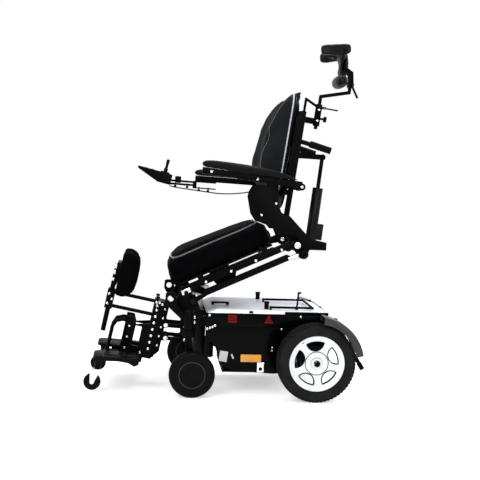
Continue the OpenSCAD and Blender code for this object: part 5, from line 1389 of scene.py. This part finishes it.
@dataclass
class BaseTrim:
    """Lenses, rear bands, small plates and mudguard beads on the base."""

    face: float = 0.204
    lens_height: float = 0.3385
    square: float = 0.016
    triangle: float = 0.175
    square_size: Point = (0.0440, 0.0370, 0.0080)
    square_ease: float = 0.0024
    triangle_radius: float = 0.0255
    triangle_ease: float = 0.0026
    triangle_drop: float = -0.005
    back_out: float = 0.002
    ribs: int = 4
    rib: Pair = (0.0056, 0.0030)
    rib_ease: float = 0.0012
    rib_first: float = -0.0132
    rib_pitch: float = 0.0088
    rib_out: float = 0.0062
    square_reach: float = 0.040
    triangle_reach: float = 0.037
    triangle_taper: float = 0.0085
    amber: Plate = Plate((0.0910, 0.0100, 0.0330), (0.103, 0.2085, 0.166), 0.0024)
    band: Plate = Plate((0.194, 0.0036, 0.0145), (0.343, 0.2052, 0.36625), 0.0014)
    plates: tuple[Plate, ...] = (Plate((0.036, 0.0024, 0.046), (-0.018, 0.2048, 0.172), 0.0008, 0.14),
                                 Plate((0.007, 0.004, 0.022), (0.022, 0.2052, 0.172), 0.0012, -0.45))
    guard: Pair = (0.1768, 0.3322)
    guard_sweep: Pair = (11.0, 83.0)
    guard_bead: float = 0.0050
    guard_steps: int = 36

    def build(self, chair: Chair) -> None:
        """Makes both sides' trim."""
        back, lens, amber, band, plate, bead = (Mold() for _ in range(6))
        first, last = (math.radians(a) for a in self.guard_sweep)
        turns = [first + (last - first) * step / self.guard_steps for step in range(self.guard_steps + 1)]
        radius, out = self.guard
        for side in SIDES.values():
            bead.tube([Vector((AXLE[0] + radius * math.cos(a), side * out, AXLE[1] + radius * math.sin(a)))
                       for a in turns], self.guard_bead)
            for x in (self.square, self.triangle):
                place = facing((x, side * self.face, self.lens_height), (0, side, 0))
                self._lens(back, lens, place, x == self.triangle)
        for mold, flat in ((amber, self.amber), (band, self.band), *((plate, p) for p in self.plates)):
            flat.lay(mold)
        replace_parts(chair.cast("lenses", lens, "base", RED, "reflector_red"), "reflectors")
        chair.cast("lens_backs", back, "base", POD_SHELL, "reflector_red")
        chair.cast("amber_lenses", amber, "base", AMBER, "reflector_red")
        chair.cast("guard_beads", bead, "base", GUARD, "guard_grey")
        chair.cast("rear_bands", band, "base", GLOSS, "panel_black")
        chair.cast("bare_plates", plate, "base", PLATE, "bright_steel")

    def _lens(self, back: Mold, ribs: Mold, place: Matrix, pointed: bool) -> None:
        """One lens: red ribs on a dark block, or on a dark triangle with soft corners.

        Args:
            back: Mold of the dark backs.
            ribs: Mold of the ribs.
            place: Place on the panel, looking outward.
            pointed: Whether it is a triangle.
        """
        if pointed:
            before = set(back.form.verts)
            bmesh.ops.create_cone(back.form, cap_ends=True, segments=3, radius1=self.triangle_radius,
                                  radius2=self.triangle_radius, depth=self.square_size[2])
            back.ease((e for v in back.since(before) for e in v.link_edges), self.triangle_ease, 2, clamp=False)
            back.settle(before, place @ shift((0, self.triangle_drop, self.back_out)))
        else:
            back.block(self.square_size, place @ shift((0, 0, self.back_out)), self.square_ease)
        for step in range(self.ribs):
            reach = self.triangle_reach - self.triangle_taper * step if pointed else self.square_reach
            rise = self.rib_first + self.rib_pitch * step
            ribs.block((reach, *self.rib), place @ shift((0, rise, self.rib_out)), self.rib_ease)


@dataclass
class BrightTrim:
    """Bright sleeves of the lift, collars of the knee post and knobs of the leg column."""

    sleeve: Plate = Plate((0.050, 0.0216, 0.0262), (0.477, 0.2137, 0.0), 0.002)
    rail: Plate = Plate((0.040, 0.0030, 0.0200), (0.002, 0.2288, 0.006), 0.0012)
    post: Point = (-0.230, 0, 0)
    collars: Profile = ((0.300, 0.312), (0.330, 0.348), (0.356, 0.374))
    collar: Point = (0.0108, 0.0136, 0.0142)
    collar_ease: float = 0.0015
    knob: Profile = ((0.0045, -0.010), (0.0045, 0.009), (0.0082, 0.011), (0.0092, 0.014), (0.0088, 0.019),
                     (0.0, 0.021))
    knob_place: Point = (-0.020, 0.0445, 0.258)

    def build(self, chair: Chair) -> None:
        """Makes every sleeve, collar and knob."""
        link, rail, collar, knob = (Mold() for _ in range(4))
        self.sleeve.lay(link, LINK)
        self.rail.lay(rail, SEAT)
        for place in both(LEG, self.knob_place):
            knob.lathe(self.knob, place, 24)
        inner, edge, outer = self.collar
        for low, high in self.collars:
            ease = self.collar_ease
            collar.lathe([(inner, low), (edge, low), (outer, low + ease), (outer, high - ease), (edge, high),
                          (inner, high)], LEG @ shift(self.post), 32)
        chair.cast("link_sleeves", link, "links", CHROME, "bright_steel")
        chair.cast("rail_plates", rail, "seat", CHROME, "bright_steel")
        chair.cast("post_collars", collar, "knee", CHROME, "bright_steel")
        chair.cast("column_knobs", knob, "leg", POD_SHELL, "frame_black")


@dataclass
class DarkTrim:
    """Front lip of the seat pan, fittings of the pale cover and of the joystick."""

    lip: Profile = ((-0.041, 0.086), (-0.038, 0.060), (-0.031, 0.040), (-0.018, 0.032), (0.010, 0.034),
                    (0.060, 0.052), (0.060, 0.070), (0.0, 0.086))
    lip_half: float = 0.190
    lip_ease: float = 0.009
    boot: Profile = (
        (0.0, 0.0125), (0.0100, 0.0125), (0.0112, 0.0138), (0.0098, 0.0152), (0.0106, 0.0166), (0.0090, 0.0180),
        (0.0097, 0.0194), (0.0080, 0.0206), (0.0086, 0.0218), (0.0068, 0.0230), (0.0064, 0.0340), (0.0076, 0.0480),
        (0.0082, 0.0560), (0.0076, 0.0620), (0.0050, 0.0655), (0.0, 0.0668))
    boot_smooth: float = 60.0
    handle: Point = (-0.028, -0.050, 0.3870)
    handle_size: Point = (0.082, 0.013, 0.0075)
    handle_ease: float = 0.0026
    feet: tuple[Point, ...] = ((-0.061, -0.050, 0.3815), (0.005, -0.050, 0.3815))
    foot_size: Point = (0.013, 0.016, 0.0115)
    foot_ease: float = 0.0020
    latch: Plate = Plate((0.017, 0.006, 0.010), (0.097, 0.2060, 0.3690), 0.0018)
    clamp: Point = (-0.511, 0.276, -0.004)
    clamp_size: Point = (0.030, 0.024, 0.032)
    clamp_ease: float = 0.005
    thumbs: Profile = ((-0.523, -0.026), (-0.465, -0.026), (-0.407, -0.038), (-0.362, -0.038))
    thumb: Profile = ((0.0, 0.006), (0.0030, 0.006), (0.0030, -0.006), (0.0062, -0.007), (0.0066, -0.011),
                      (0.0060, -0.016), (0.0, -0.017))

    def build(self, chair: Chair) -> None:
        """Makes the lip, the cover's handle and latches, the stick's boot, the rod clamp and its thumb screws."""
        lip, boot, clamp, cover = (Mold() for _ in range(4))
        cover.block(self.handle_size, shift(self.handle), self.handle_ease, 3)
        for foot in self.feet:
            cover.block(self.foot_size, shift(foot), self.foot_ease)
        self.latch.lay(cover)
        chair.cast("cover_handles", cover, "base", RUBBER, "grip_rubber")
        lip.prism(self.lip, self.lip_half, SEAT, self.lip_ease)
        chair.cast("seat_front_lip", lip, "seat", DARK_HIDE, "shell_black")
        boot.lathe(self.boot, POD, 32)
        chair.cast("stick_boot", boot, "stick", RUBBER, "grip_rubber", self.boot_smooth)
        clamp.block(self.clamp_size, RIGHT_ARM @ shift(self.clamp), self.clamp_ease, 3)
        for x, z in self.thumbs:
            clamp.lathe(self.thumb, RIGHT_ARM @ shift((x, self.clamp[1], z)), 20)
        chair.cast("rod_clamps", clamp, "right_arm", POD_SHELL, "pod_plastic")


# Assembly

def dress_nodes(chair: Chair) -> None:
    """Gives every CAD node its finish."""
    for name, node in chair.frame["nodes"].items():
        chair.shop.dress(node, NODE_FINISH.get(name, POWDER))


def main() -> None:
    """Builds the studio and every sub-assembly in order."""
    logging.basicConfig(level=logging.INFO, format="%(name)s: %(message)s")
    for item in list(bpy.data.objects):
        bpy.data.objects.remove(item)
    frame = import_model()
    bpy.context.scene.view_settings.view_transform = "Standard"
    chair = Chair(frame, FinishShop())
    studio = Studio()
    studio.camera()
    Lead().build(chair)
    dress_nodes(chair)
    EasedParts().build(chair)
    for part in (DriveWheels(), SmallWheels(), Fasteners(), BaseTrim(), BrightTrim(), DarkTrim(), Upholstery()):
        part.build(chair)
    studio.light()
    studio.floor()
    LOG.info("%d pieces", len(chair.pieces))


if __name__ == "__main__":
    main()
